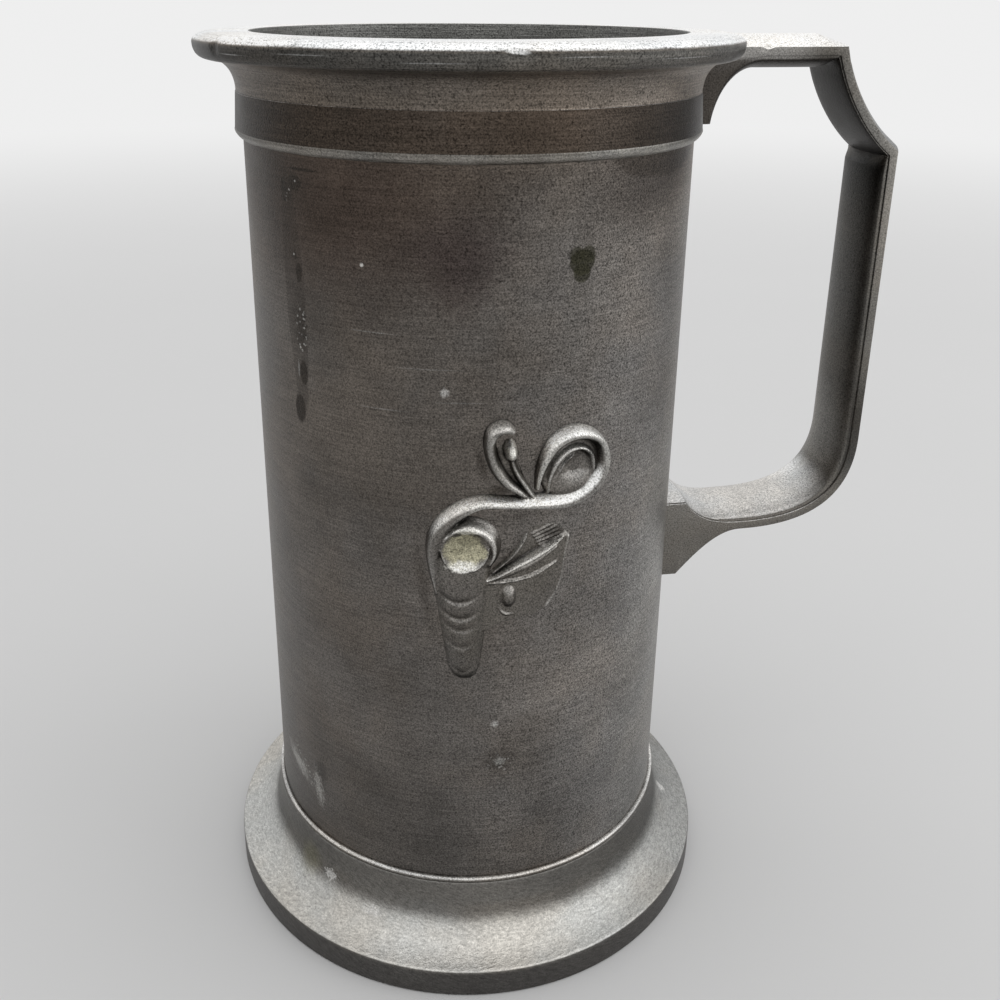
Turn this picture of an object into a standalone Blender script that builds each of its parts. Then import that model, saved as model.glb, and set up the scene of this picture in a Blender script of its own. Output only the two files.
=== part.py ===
"""Litre measuring cup in cast pewter.

A straight drum carries a wide lip with a coved collar, a flared hollow foot, a strap handle and a
scroll relief. The castings are soldered together, and the solder seams are pieces of their own.

Metres, +Z up. The cup stands on Z = 0, the handle points along +X and the relief faces -Y. The
origin is the middle of the footprint, so the drum's axis stands a little to its -X side.
"""
import math

import bmesh
import bpy
from mathutils import Vector
from mathutils.geometry import interpolate_bezier

MM = 0.001

# Clearance between neighbours, and how finely round things are divided
GAP = 0.3 * MM
SEGMENTS = 64
CURVE_STEPS = 9
EDGE_STEPS = 5
SECTION_STEPS = 8
GRIP_STEPS = 3
SMOOTH_ANGLE = math.radians(32)

# How far a curve's pulls run toward the corner that it rounds
ROUND = 0.6
FULL = 0.75
TIGHT = 0.88

# Drum: a plain tube
CUP_HEIGHT = 192.7 * MM
DRUM_RADIUS = 45.5 * MM
DRUM_WALL = 2.5 * MM
DRUM_FOOT_DEPTH = 12.0 * MM
DRUM_COLLAR_DEPTH = 3.4 * MM

# Floor: a disc soldered inside the drum, just below the top of the foot
FLOOR_DROP = 0.2 * MM
FLOOR_THICKNESS = 3.0 * MM
FLOOR_SEAM = 1.3 * MM
SEAM_TOE = 0.3 * MM

# Mouth ring: flat lip, cove and collar in one casting
LIP_OVERHANG = 8.5 * MM
LIP_THICKNESS = 4.75 * MM
LIP_ROUNDING = 0.4 * MM
LIP_UNDERCUT = 1.9 * MM
LIP_UNDERCUT_HEIGHT = 2.85 * MM
COVE_HEIGHT = 6.2 * MM
COLLAR_HEIGHT = 7.15 * MM
COLLAR_TOP_STEP = 0.9 * MM
COLLAR_FOOT_STEP = 1.5 * MM
COLLAR_SEAM = 1.4 * MM

# Foot: a flared casting, hollow below, with a socket for the drum
FOOT_HEIGHT = 20.8 * MM
FOOT_FLARE = 11.0 * MM
FOOT_EDGE = 6.5 * MM
FOOT_EDGE_ROUNDING = 0.5 * MM
FOOT_SLOPE = 2.3 * MM
FOOT_TOP_WALL = 0.7 * MM
FOOT_LEDGE = 2.2 * MM
FOOT_STAND = 4.0 * MM
FOOT_HOLLOW = 4.2 * MM
FOOT_HOLLOW_DRAFT = 1.3 * MM
FOOT_BEAD = 0.6 * MM

# Handle: a strap with a crowned back and a round belly, flared where it meets the body
GRIP_WIDTH = 18.7 * MM
BAR_WIDTH = 16.0 * MM
STRAP_THICKNESS = 1.9 * MM
CROWN = 2.3 * MM
BELLY = 2.6 * MM
BELLY_LEDGE = 0.6 * MM
BAR_DROP = 3.9 * MM
BAR_REACH = 30.9 * MM
CORNER_EASE = 4.5 * MM
CORNER_CROWN = 0.7 * MM
CORNER_BELLY = 1.6 * MM
SHOULDER_DROP = 20.6 * MM
SHOULDER_BOW = 5.7 * MM
GRIP_REACH = 44.0 * MM
GRIP_LENGTH = 65.0 * MM
BEND_DROP = 20.6 * MM
BRACKET_REACH = 14.5 * MM
BRACKET_LEDGE = 2.9 * MM
BRACKET_LEAN = 1.45 * MM
BRACKET_BELLY = 1.8 * MM
TERMINAL_REACH = 18.0 * MM
TERMINAL_RISE = 6.6 * MM
TERMINAL_FALL = 11.7 * MM
TERMINAL_LEDGE = 4.2 * MM
TERMINAL_LEAN = 7.9 * MM
TERMINAL_UNDERCUT = 1.3 * MM
TERMINAL_SWELL = 0.8 * MM

# Relief on the front of the drum. Places are across and up from its middle, turns are in degrees
# anticlockwise from the right, and swells are a strand's width at its start, middle and end.
RELIEF_RISE = 2.3 * MM
RIBBON_HALF_WIDTH = 1.35 * MM
RIBBON_SWELL = (0.45, 1.1, 0.75)
VOLUTE_ACROSS = 13.4 * MM
VOLUTE_UP = 16.9 * MM
VOLUTE_RADIUS = 7.1 * MM
VOLUTE_TURN = (195.0, -80.0)
EYE_RADIUS = 4.2 * MM
EYE_TURN = (250.0, -60.0)
EYE_SWELL = (0.9, 0.6, 1.2)
SWEEP_UP = 10.5 * MM
HOOK_SPAN = 8.5 * MM
HOOK_DROP = 12.5 * MM
HOOK_CLEARANCE = 0.6 * MM
STEM_ACROSS = 5.0 * MM
CURL_HALF_WIDTH = 1.0 * MM
CURL_ACROSS = -0.3 * MM
CURL_UP = 23.2 * MM
CURL_RADIUS = 2.1 * MM
CURL_TURN = (195.0, 20.0)
CURL_SWELL = (0.9, 1.05, 0.5)
BUD_ACROSS = 0.9 * MM
BUD_UP = 22.2 * MM
BUD_BOW = 1.0 * MM
BUD_SWELL = (0.7, 0.6, 0.95)
BOSS_ACROSS = -7.9 * MM
BOSS_UP = 0.8 * MM
BOSS_RADIUS = 4.5 * MM
BOSS_RISE = 2.4 * MM
BOSS_BEVEL = 0.6 * MM
BAND_TURN = (135.0, -60.0)
BAND_SWELL = (0.7, 1.4, 0.6)
ROLL_HALF_WIDTH = 5.5 * MM
ROLL_TIP_HALF_WIDTH = 2.9 * MM
ROLL_RISE = 3.0 * MM
ROLL_LENGTH = 25.0 * MM
ROLL_RIBS = 6
ROLL_RIB_RISE = 0.45 * MM
LEAF_ACROSS = 4.6 * MM
LEAF_UP = -5.2 * MM
LEAF_LENGTH = 21.0 * MM
LEAF_WIDTH = 14.0 * MM
LEAF_RISE = 1.3 * MM
VEIN_HALF_WIDTH = 0.6 * MM
VEIN_ROOT_UP = -5.4 * MM
VEIN_TURNS = (94.0, 27.0, 10.0)
VEIN_SWELL = (1.2, 1.1, 0.6)
BEAD_RADIUS = 1.7 * MM

# Metal of each piece: colour and roughness
METALS = {
    "drum": ((0.10, 0.09, 0.08), 0.5),
    "mouth_ring": ((0.36, 0.35, 0.33), 0.35),
    "collar_seam": ((0.42, 0.40, 0.37), 0.4),
    "foot": ((0.45, 0.44, 0.42), 0.35),
    "foot_bead": ((0.62, 0.61, 0.58), 0.3),
    "floor_disc": ((0.22, 0.21, 0.20), 0.5),
    "floor_seam": ((0.32, 0.31, 0.29), 0.45),
    "handle": ((0.30, 0.29, 0.27), 0.4),
    "relief": ((0.40, 0.38, 0.33), 0.35),
}

# Derived places, all measured from the drum's axis and the table
DRUM_BORE = DRUM_RADIUS - DRUM_WALL
LIP_RADIUS = DRUM_RADIUS + LIP_OVERHANG
LIP_UNDERSIDE = CUP_HEIGHT - LIP_THICKNESS
COLLAR_TOP = LIP_UNDERSIDE - COVE_HEIGHT
COLLAR_FOOT = COLLAR_TOP - COLLAR_HEIGHT
FOOT_RADIUS = DRUM_RADIUS + FOOT_FLARE
FOOT_SEAT = FOOT_HEIGHT - DRUM_FOOT_DEPTH
FLOOR_HEIGHT = FOOT_HEIGHT - FLOOR_DROP
BAR_Z = CUP_HEIGHT - BAR_DROP
GRIP_X = DRUM_RADIUS + GRIP_REACH
SHOULDER_Z = BAR_Z - SHOULDER_DROP
BEND_Z = SHOULDER_Z - GRIP_LENGTH
RUN_Z = BEND_Z - BEND_DROP
RELIEF_Z = (FOOT_HEIGHT + COLLAR_FOOT) / 2 + RELIEF_RISE
VOLUTE_CENTRE = Vector((VOLUTE_ACROSS, VOLUTE_UP))
CURL_CENTRE = Vector((CURL_ACROSS, CURL_UP))
BUD_TIP = Vector((BUD_ACROSS, BUD_UP))
BOSS_CENTRE = Vector((BOSS_ACROSS, BOSS_UP))
LEAF_CENTRE = Vector((LEAF_ACROSS, LEAF_UP))
HANDLE_REACH = GRIP_X + STRAP_THICKNESS / 2 + CROWN
AXIS_X = (FOOT_RADIUS - HANDLE_REACH) / 2


def eased(start, corner, end, count, leave=ROUND, arrive=ROUND):
    """Points along a curve in the plane that leaves start toward corner and comes from it into end."""
    start, corner, end = Vector(start), Vector(corner), Vector(end)
    knots = [start, start.lerp(corner, leave), end.lerp(corner, arrive), end]
    return [point.to_2d() for point in interpolate_bezier(*[knot.to_3d() for knot in knots], count)]


def shade(mesh):
    """Smooth shading that keeps the turned edges crisp."""
    mesh.shade_smooth()
    mesh.set_sharp_from_angle(angle=SMOOTH_ANGLE)


def mesh_from(name, shape):
    """A shaded mesh made from an edited shape, which is closed."""
    mesh = bpy.data.meshes.new(name)
    shape.to_mesh(mesh)
    shape.free()
    shade(mesh)
    return mesh


def place(name, mesh, collection):
    """An object on the drum's axis."""
    made = bpy.data.objects.new(name, mesh)
    collection.objects.link(made)
    made.parent = axis
    return made


def turned(name, profile, collection):
    """A closed (radius, height) profile turned about the drum's axis."""
    mesh = bpy.data.meshes.new(name)
    points = [(radius, 0.0, height) for radius, height in profile]
    count = len(points)
    mesh.from_pydata(points, [(i, (i + 1) % count) for i in range(count)], [])
    made = place(name, mesh, collection)
    screw = made.modifiers.new("turn", "SCREW")
    screw.axis = "Z"
    screw.angle = 2 * math.pi
    screw.steps = SEGMENTS
    screw.render_steps = SEGMENTS
    screw.use_merge_vertices = True
    screw.merge_threshold = 0.01 * MM
    screw.use_smooth_shade = True
    return made


def cut(target, cutter, operation="DIFFERENCE"):
    """One boolean step on a piece."""
    step = target.modifiers.new(operation.lower(), "BOOLEAN")
    step.operation = operation
    step.solver = "EXACT"
    step.object = cutter


def finish(made):
    """Give a piece its own metal."""
    colour, roughness = METALS[made.name]
    metal = bpy.data.materials.new(made.name)
    metal.use_nodes = True
    shader = metal.node_tree.nodes["Principled BSDF"]
    shader.inputs["Base Color"].default_value = (*colour, 1.0)
    shader.inputs["Roughness"].default_value = roughness
    shader.inputs["Metallic"].default_value = 1.0
    made.data.materials.clear()
    made.data.materials.append(metal)


# Turned pieces


def mouth_outline(grow):
    """The outer side of the mouth ring, from the lip down to the collar's foot, moved out by grow."""
    lip_root = LIP_RADIUS - LIP_UNDERCUT
    neck = DRUM_RADIUS + COLLAR_TOP_STEP
    points = [(LIP_RADIUS - LIP_ROUNDING, CUP_HEIGHT), (LIP_RADIUS, CUP_HEIGHT - LIP_ROUNDING)]
    points += eased(
        (LIP_RADIUS, LIP_UNDERSIDE + LIP_UNDERCUT_HEIGHT),
        (LIP_RADIUS, LIP_UNDERSIDE),
        (lip_root, LIP_UNDERSIDE),
        EDGE_STEPS,
    )
    cove = eased((lip_root, LIP_UNDERSIDE), (neck, LIP_UNDERSIDE), (neck, COLLAR_TOP), CURVE_STEPS)
    points += cove[1:]
    points += [(DRUM_RADIUS + COLLAR_FOOT_STEP, COLLAR_FOOT)]
    return [(radius + grow, height - grow) for radius, height in points]


def make_mouth_ring():
    """Lip, cove and collar, rebated over the top of the drum."""
    seat = COLLAR_FOOT + DRUM_COLLAR_DEPTH + GAP
    profile = mouth_outline(0.0)
    profile += [
        (DRUM_RADIUS + GAP, COLLAR_FOOT),
        (DRUM_RADIUS + GAP, seat),
        (DRUM_BORE, seat),
        (DRUM_BORE, CUP_HEIGHT - LIP_ROUNDING),
        (DRUM_BORE + LIP_ROUNDING, CUP_HEIGHT),
    ]
    finish(turned("mouth_ring", profile, parts))


def make_drum():
    """The straight wall between foot and mouth ring."""
    top = COLLAR_FOOT + DRUM_COLLAR_DEPTH
    bottom = FOOT_SEAT + GAP
    profile = [(DRUM_RADIUS, top), (DRUM_RADIUS, bottom), (DRUM_BORE, bottom), (DRUM_BORE, top)]
    finish(turned("drum", profile, parts))


def make_collar_seam():
    """Solder fillet in the corner below the collar."""
    inner = DRUM_RADIUS + GAP
    outer = DRUM_RADIUS + COLLAR_FOOT_STEP
    top = COLLAR_FOOT - GAP
    profile = [(outer, top), (inner + SEAM_TOE, top - COLLAR_SEAM), (inner, top - COLLAR_SEAM), (inner, top)]
    finish(turned("collar_seam", profile, parts))


def make_foot():
    """Flared foot with a socket that the drum stands in."""
    bore = DRUM_RADIUS + GAP
    neck = bore + FOOT_TOP_WALL
    ledge_radius = DRUM_BORE + GAP
    hollow_top = FOOT_SEAT - FOOT_LEDGE
    stand_inner = FOOT_RADIUS - FOOT_STAND
    profile = eased(
        (neck, FOOT_HEIGHT),
        (neck, FOOT_EDGE + FOOT_SLOPE),
        (FOOT_RADIUS - FOOT_EDGE_ROUNDING, FOOT_EDGE),
        CURVE_STEPS,
        FULL,
        FULL,
    )
    profile += [
        (FOOT_RADIUS, FOOT_EDGE - FOOT_EDGE_ROUNDING),
        (FOOT_RADIUS, FOOT_EDGE_ROUNDING),
        (FOOT_RADIUS - FOOT_EDGE_ROUNDING, 0.0),
        (stand_inner, 0.0),
        (stand_inner - FOOT_HOLLOW_DRAFT, FOOT_HOLLOW),
        (bore, hollow_top),
        (ledge_radius, hollow_top),
        (ledge_radius, FOOT_SEAT),
        (bore, FOOT_SEAT),
        (bore, FOOT_HEIGHT),
    ]
    finish(turned("foot", profile, parts))


def make_foot_bead():
    """Bright bead of solder round the joint of drum and foot."""
    bpy.ops.mesh.primitive_torus_add(
        major_radius=DRUM_RADIUS + GAP + FOOT_BEAD,
        minor_radius=FOOT_BEAD,
        major_segments=SEGMENTS,
        minor_segments=SECTION_STEPS,
    )
    ring = bpy.context.object
    mesh = ring.data
    bpy.data.objects.remove(ring)
    shade(mesh)
    made = place("foot_bead", mesh, parts)
    made.location = (0.0, 0.0, FOOT_HEIGHT + GAP + FOOT_BEAD)
    finish(made)


def make_floor():
    """The disc that closes the drum."""
    radius = DRUM_BORE - GAP
    disc = bmesh.new()
    bmesh.ops.create_cone(
        disc, cap_ends=True, segments=SEGMENTS, radius1=radius, radius2=radius, depth=FLOOR_THICKNESS
    )
    made = place("floor_disc", mesh_from("floor_disc", disc), parts)
    made.location = (0.0, 0.0, FLOOR_HEIGHT - FLOOR_THICKNESS / 2)
    finish(made)


def make_floor_seam():
    """Solder fillet between the floor and the wall, inside."""
    outer = DRUM_BORE - GAP
    low = FLOOR_HEIGHT + GAP
    profile = [
        (outer, low + FLOOR_SEAM),
        (outer, low),
        (outer - FLOOR_SEAM, low),
        (outer - FLOOR_SEAM, low + SEAM_TOE),
        (outer - SEAM_TOE, low + FLOOR_SEAM),
    ]
    finish(turned("floor_seam", profile, parts))


def make_envelope():
    """The outside of the body with its clearance, for cutting what is applied to it."""
    above = CUP_HEIGHT + LIP_THICKNESS
    core = DRUM_BORE / 2
    profile = [(LIP_RADIUS + GAP, above)]
    profile += mouth_outline(GAP)[1:]
    profile += [(DRUM_RADIUS + GAP, COLLAR_FOOT - GAP), (DRUM_RADIUS + GAP, 0.0), (core, 0.0), (core, above)]
    return turned("body_envelope", profile, cutters)


# Handle


def mitre(before, here, after):
    """Outward offset vector of a path at a point, lengthened where the path has a corner."""
    first = (here - before).normalized()
    second = (after - here).normalized()
    left = Vector((-first.y, first.x))
    right = Vector((-second.y, second.x))
    return (left + right) / (1.0 + left.dot(right))


def strap_path():
    """The strap's middle line with its width at each point, from the bracket to the lower terminal."""
    bar_start = Vector((DRUM_RADIUS + BRACKET_REACH, BAR_Z))
    corner = Vector((DRUM_RADIUS + BAR_REACH, BAR_Z))
    heel = Vector((GRIP_X, SHOULDER_Z))
    bend = Vector((GRIP_X, BEND_Z))
    run_end = Vector((DRUM_RADIUS + TERMINAL_REACH, RUN_Z))
    slope = heel - corner
    bow = Vector((slope.y, -slope.x)).normalized() * SHOULDER_BOW
    shoulder = eased(corner, corner.lerp(heel, 0.5) + bow, heel, CURVE_STEPS)
    path = [(bar_start, BAR_WIDTH), (corner - Vector((CORNER_EASE, 0.0)), BAR_WIDTH)]
    for index, point in enumerate(shoulder):
        along = index / (len(shoulder) - 1)
        path.append((point, BAR_WIDTH + (GRIP_WIDTH - BAR_WIDTH) * along))
    path += [(heel.lerp(bend, step / GRIP_STEPS), GRIP_WIDTH) for step in range(1, GRIP_STEPS)]
    path += [(point, GRIP_WIDTH) for point in eased(bend, (GRIP_X, RUN_Z), run_end, CURVE_STEPS, FULL, ROUND)]
    return path


def strap_stations():
    """Stations along the strap.

    A station is its outer edge, its inner edge, the crown's rise and the belly's rise, all as
    vectors in the handle's plane, and half its width. The back is lower at the bar's corner.
    """
    path = strap_path()
    corner_x = DRUM_RADIUS + BAR_REACH
    stations = []
    for index, (here, width) in enumerate(path):
        before = path[index - 1][0] if index else here - Vector((BRACKET_REACH, 0.0))
        after = path[index + 1][0] if index + 1 < len(path) else here - Vector((TERMINAL_REACH, 0.0))
        out = mitre(before, here, after)
        half = out * STRAP_THICKNESS / 2
        at_corner = (here - Vector((corner_x, BAR_Z))).length < GAP
        crown = CORNER_CROWN if at_corner else CROWN
        belly = CORNER_BELLY if at_corner else BELLY
        stations.append((here + half, here - half, out * crown, out * -belly, width / 2))
    return stations


def bracket_stations():
    """Stations of the upper end, from inside the mouth ring out to the bar."""
    bracket_x = DRUM_RADIUS + BRACKET_REACH
    toe_x = DRUM_RADIUS + BRACKET_LEDGE
    bar_root = DRUM_RADIUS + BRACKET_LEDGE / 2
    upper = BAR_Z + STRAP_THICKNESS / 2
    lower = BAR_Z - STRAP_THICKNESS / 2
    half = BAR_WIDTH / 2
    crown = Vector((0.0, CROWN))
    web = eased((toe_x, COLLAR_FOOT), (toe_x + BRACKET_LEAN, lower), (bracket_x, lower), CURVE_STEPS)
    root_belly = Vector((BRACKET_BELLY, 0.0))
    stations = [(Vector((DRUM_BORE, upper)), Vector((DRUM_BORE, COLLAR_FOOT)), crown, root_belly, half)]
    for index, point in enumerate(web[:-1]):
        along = index / (len(web) - 1)
        rise = (web[index + 1] - point).normalized()
        back = Vector((bar_root + (bracket_x - bar_root) * along, upper))
        belly = Vector((rise.y, -rise.x)) * (BRACKET_BELLY + (BELLY - BRACKET_BELLY) * along)
        stations.append((back, point, crown, belly, half))
    return stations


def terminal_stations():
    """Stations of the lower end, from the run in to the inside of the drum."""
    start_x = DRUM_RADIUS + TERMINAL_REACH
    ledge_x = DRUM_RADIUS + TERMINAL_LEDGE
    upper = RUN_Z + STRAP_THICKNESS / 2
    lower = RUN_Z - STRAP_THICKNESS / 2
    top = RUN_Z + TERMINAL_RISE
    bottom = RUN_Z - TERMINAL_FALL
    inner = eased(
        (start_x, upper), (ledge_x + TERMINAL_LEDGE, upper), (ledge_x, top), CURVE_STEPS, ROUND, TIGHT
    )
    outer = eased(
        (start_x, lower),
        (ledge_x + TERMINAL_LEAN, lower),
        (ledge_x - TERMINAL_UNDERCUT, bottom),
        CURVE_STEPS,
        TIGHT,
        ROUND,
    )
    edges = list(zip(outer[1:], inner[1:]))
    edges.append((Vector((DRUM_BORE, bottom)), Vector((DRUM_BORE, top))))
    stations = []
    for index, (low, high) in enumerate(edges):
        fade = min(1.0, (index + 1) / (len(edges) - 1))
        out = (low - high).normalized()
        crown = out * (CROWN + (TERMINAL_SWELL - CROWN) * fade)
        belly = out * -(BELLY + (TERMINAL_SWELL - BELLY) * fade)
        stations.append((low, high, crown, belly, GRIP_WIDTH / 2))
    return stations


def handle_section(outer, inner, crown, belly, half):
    """Ring of points round the strap: flat sides, crowned back, round belly between two ledges."""
    belly_half = half - BELLY_LEDGE
    ring = [(inner, -half), (outer, -half)]
    for step in range(1, SECTION_STEPS):
        across = 2 * step / SECTION_STEPS - 1
        ring.append((outer + crown * (1 - across * across), across * half))
    ring += [(outer, half), (inner, half)]
    for step in range(SECTION_STEPS + 1):
        turn = math.pi * step / SECTION_STEPS
        ring.append((inner + belly * math.sin(turn), math.cos(turn) * belly_half))
    return [(point.x, y, point.y) for point, y in ring]


def make_handle(envelope):
    """Loft the strap through its sections, then cut it to the body."""
    stations = bracket_stations() + strap_stations() + terminal_stations()
    loft = bmesh.new()
    levels = [[loft.verts.new(point) for point in handle_section(*station)] for station in stations]
    count = len(levels[0])
    for low, high in zip(levels, levels[1:]):
        for i in range(count):
            j = (i + 1) % count
            loft.faces.new((low[i], low[j], high[j], high[i]))
    loft.faces.new(levels[0])
    loft.faces.new(levels[-1])
    bmesh.ops.recalc_face_normals(loft, faces=loft.faces)
    made = place("handle", mesh_from("handle", loft), parts)
    cut(made, envelope)
    finish(made)


# Relief


def on_drum(spot, rise=0.0):
    """A place on the front of the drum, from its place across and up, raised by rise."""
    angle = spot[0] / DRUM_RADIUS - math.pi / 2
    radius = DRUM_RADIUS + GAP + rise
    return Vector((radius * math.cos(angle), radius * math.sin(angle), RELIEF_Z + spot[1]))


def arc(centre, radius, turn, count):
    """Spots along an arc from the first angle of turn to the second."""
    start, end = turn
    spots = []
    for step in range(count):
        angle = math.radians(start + (end - start) * step / (count - 1))
        spots.append(centre + radius * Vector((math.cos(angle), math.sin(angle))))
    return spots


def solid_from(curve_object):
    """A closed mesh made from a bevelled curve, which is removed."""
    bpy.context.view_layer.update()
    graph = bpy.context.evaluated_depsgraph_get()
    mesh = bpy.data.meshes.new_from_object(curve_object.evaluated_get(graph))
    weld = bmesh.new()
    weld.from_mesh(mesh)
    bmesh.ops.remove_doubles(weld, verts=weld.verts, dist=0.001 * MM)
    bmesh.ops.recalc_face_normals(weld, faces=weld.faces)
    weld.to_mesh(mesh)
    weld.free()
    curve = curve_object.data
    bpy.data.objects.remove(curve_object)
    bpy.data.curves.remove(curve)
    return mesh


def strand(name, spots, half_width, swell, rise=0.0):
    """A round strand through spots on the drum, as wide at its start, middle and end as swell says."""
    curve = bpy.data.curves.new(name, "CURVE")
    curve.dimensions = "3D"
    curve.bevel_depth = half_width
    curve.bevel_resolution = 1
    curve.resolution_u = 3
    curve.use_fill_caps = True
    spline = curve.splines.new("BEZIER")
    spline.bezier_points.add(len(spots) - 1)
    start, middle, end = swell
    bulge = middle - (start + end) / 2
    for index, (knot, spot) in enumerate(zip(spline.bezier_points, spots)):
        along = index / (len(spots) - 1)
        knot.co = on_drum(spot, rise)
        knot.radius = start + (end - start) * along + bulge * 4 * along * (1 - along)
        knot.handle_left_type = "AUTO"
        knot.handle_right_type = "AUTO"
    guide = bpy.data.objects.new(name, curve)
    bpy.context.scene.collection.objects.link(guide)
    return place(name, solid_from(guide), cutters)


def make_scroll():
    """The ribbon from its volute to its hook, the volute's eye, the curl and the bud inside it."""
    hook_x = BOSS_CENTRE.x - BOSS_RADIUS - HOOK_CLEARANCE - RIBBON_HALF_WIDTH / 3
    hook = eased(
        (hook_x + HOOK_SPAN, SWEEP_UP), (hook_x, SWEEP_UP), (hook_x, SWEEP_UP - HOOK_DROP), CURVE_STEPS
    )
    stem = Vector((STEM_ACROSS, SWEEP_UP))
    volute = arc(VOLUTE_CENTRE, VOLUTE_RADIUS, VOLUTE_TURN, CURVE_STEPS)
    ribbon = strand("ribbon", [*volute, stem, *hook], RIBBON_HALF_WIDTH, RIBBON_SWELL)
    eye_drop = VOLUTE_RADIUS - RIBBON_HALF_WIDTH - EYE_RADIUS
    eye_spots = arc(VOLUTE_CENTRE - Vector((0.0, eye_drop)), EYE_RADIUS, EYE_TURN, CURVE_STEPS)
    eye = strand("volute_eye", eye_spots, CURL_HALF_WIDTH, EYE_SWELL)
    curl_spots = [stem, *arc(CURL_CENTRE, CURL_RADIUS, CURL_TURN, EDGE_STEPS)]
    curl = strand("curl", curl_spots, CURL_HALF_WIDTH, CURL_SWELL)
    bud_corner = stem.lerp(BUD_TIP, 0.5) - Vector((BUD_BOW, 0.0))
    bud = strand("bud", eased(stem, bud_corner, BUD_TIP, EDGE_STEPS), CURL_HALF_WIDTH, BUD_SWELL)
    return [ribbon, eye, curl, bud]


def roll_half_width(along):
    """Half the roll's width, from its thick end at 0 to its round tip at 1, with its ribs."""
    taper = ROLL_HALF_WIDTH + (ROLL_TIP_HALF_WIDTH - ROLL_HALF_WIDTH) * along
    rib = ROLL_RIB_RISE * math.cos(2 * math.pi * along * ROLL_RIBS)
    tip_share = 2 * ROLL_TIP_HALF_WIDTH / ROLL_LENGTH
    tip = max(0.0, 1.0 - (1.0 - along) / tip_share)
    return (taper + rib) * math.sqrt(1.0 - tip * tip)


def make_boss():
    """The round boss and the band that rises round its upper side."""
    bpy.ops.mesh.primitive_cylinder_add(vertices=3 * SECTION_STEPS, radius=BOSS_RADIUS, depth=2 * BOSS_RISE)
    disc = bpy.context.object
    mesh = disc.data
    bpy.data.objects.remove(disc)
    shade(mesh)
    boss = place("boss", mesh, cutters)
    boss.location = on_drum(BOSS_CENTRE)
    outward = on_drum(BOSS_CENTRE, BOSS_RISE) - on_drum(BOSS_CENTRE)
    boss.rotation_euler = outward.to_track_quat("Z", "Y").to_euler()
    bevel = boss.modifiers.new("round", "BEVEL")
    bevel.width = BOSS_BEVEL
    bevel.segments = 2
    band_spots = arc(BOSS_CENTRE, BOSS_RADIUS + CURL_HALF_WIDTH, BAND_TURN, CURVE_STEPS)
    return [boss, strand("boss_band", band_spots, CURL_HALF_WIDTH, BAND_SWELL)]


def make_roll():
    """The ribbed roll that tapers down from under the boss."""
    spindle = bmesh.new()
    bmesh.ops.create_uvsphere(spindle, u_segments=2 * CURVE_STEPS, v_segments=4 * ROLL_RIBS, radius=1.0)
    for vert in spindle.verts:
        along = math.acos(max(-1.0, min(1.0, vert.co.z))) / math.pi
        girth = max(math.sin(math.pi * along), 1e-6)
        half = roll_half_width(along)
        vert.co.x *= half / girth
        vert.co.y *= half / girth * ROLL_RISE / ROLL_HALF_WIDTH
        vert.co.z = -ROLL_LENGTH * along
    roll = place("roll", mesh_from("roll", spindle), cutters)
    roll.location = on_drum(BOSS_CENTRE - Vector((0.0, BOSS_RADIUS / 2)))
    roll.rotation_euler = (0.0, 0.0, BOSS_CENTRE.x / DRUM_RADIUS)
    return [roll]


def make_leaf():
    """The low leaf beside the roll, with a bead and the veins that fan out of the roll."""
    half_leaf = Vector((LEAF_WIDTH, LEAF_LENGTH)) / 2
    mound = bmesh.new()
    bmesh.ops.create_uvsphere(mound, u_segments=2 * CURVE_STEPS, v_segments=CURVE_STEPS, radius=1.0)
    bmesh.ops.scale(mound, verts=mound.verts, vec=(half_leaf.x, LEAF_RISE * 2, half_leaf.y))
    leaf = place("leaf", mesh_from("leaf", mound), cutters)
    leaf.location = on_drum(LEAF_CENTRE, -LEAF_RISE)
    leaf.rotation_euler = (0.0, 0.0, LEAF_CENTRE.x / DRUM_RADIUS)
    drop = bmesh.new()
    bmesh.ops.create_uvsphere(drop, u_segments=SECTION_STEPS, v_segments=SECTION_STEPS, radius=BEAD_RADIUS)
    bead = place("bead", mesh_from("bead", drop), cutters)
    bead.location = on_drum(LEAF_CENTRE - half_leaf / 2, LEAF_RISE / 2)
    root = Vector((BOSS_CENTRE.x + ROLL_HALF_WIDTH / 2, VEIN_ROOT_UP))
    veins = []
    for number, turn in enumerate(VEIN_TURNS, start=1):
        angle = math.radians(turn)
        end = LEAF_CENTRE + half_leaf * TIGHT * Vector((math.cos(angle), math.sin(angle)))
        corner = Vector((root.lerp(end, ROUND).x, root.y))
        spots = eased(root, corner, end, EDGE_STEPS)
        veins.append(strand(f"vein_{number}", spots, VEIN_HALF_WIDTH, VEIN_SWELL, LEAF_RISE / 2))
    return [leaf, bead, *veins]


def make_relief(envelope):
    """Join the strands into one casting and fit its back to the drum."""
    pieces = make_scroll() + make_boss() + make_roll() + make_leaf()
    first = pieces[0]
    made = place("relief", first.data.copy(), parts)
    for piece in pieces[1:]:
        cut(made, piece, "UNION")
    bpy.data.objects.remove(first)
    cut(made, envelope)
    finish(made)


# The model

for old in list(bpy.data.objects):
    bpy.data.objects.remove(old, do_unlink=True)

parts = bpy.data.collections.new("measuring_cup")
cutters = bpy.data.collections.new("measuring_cup_cutters")
bpy.context.scene.collection.children.link(parts)
bpy.context.scene.collection.children.link(cutters)

axis = bpy.data.objects.new("drum_axis", None)
axis.location = (AXIS_X, 0.0, 0.0)
parts.objects.link(axis)

make_drum()
make_mouth_ring()
make_collar_seam()
make_foot()
make_foot_bead()
make_floor()
make_floor_seam()
body_envelope = make_envelope()
make_handle(body_envelope)
make_relief(body_envelope)

for guide in cutters.objects:
    guide.hide_render = True
    guide.display_type = "WIRE"
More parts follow.
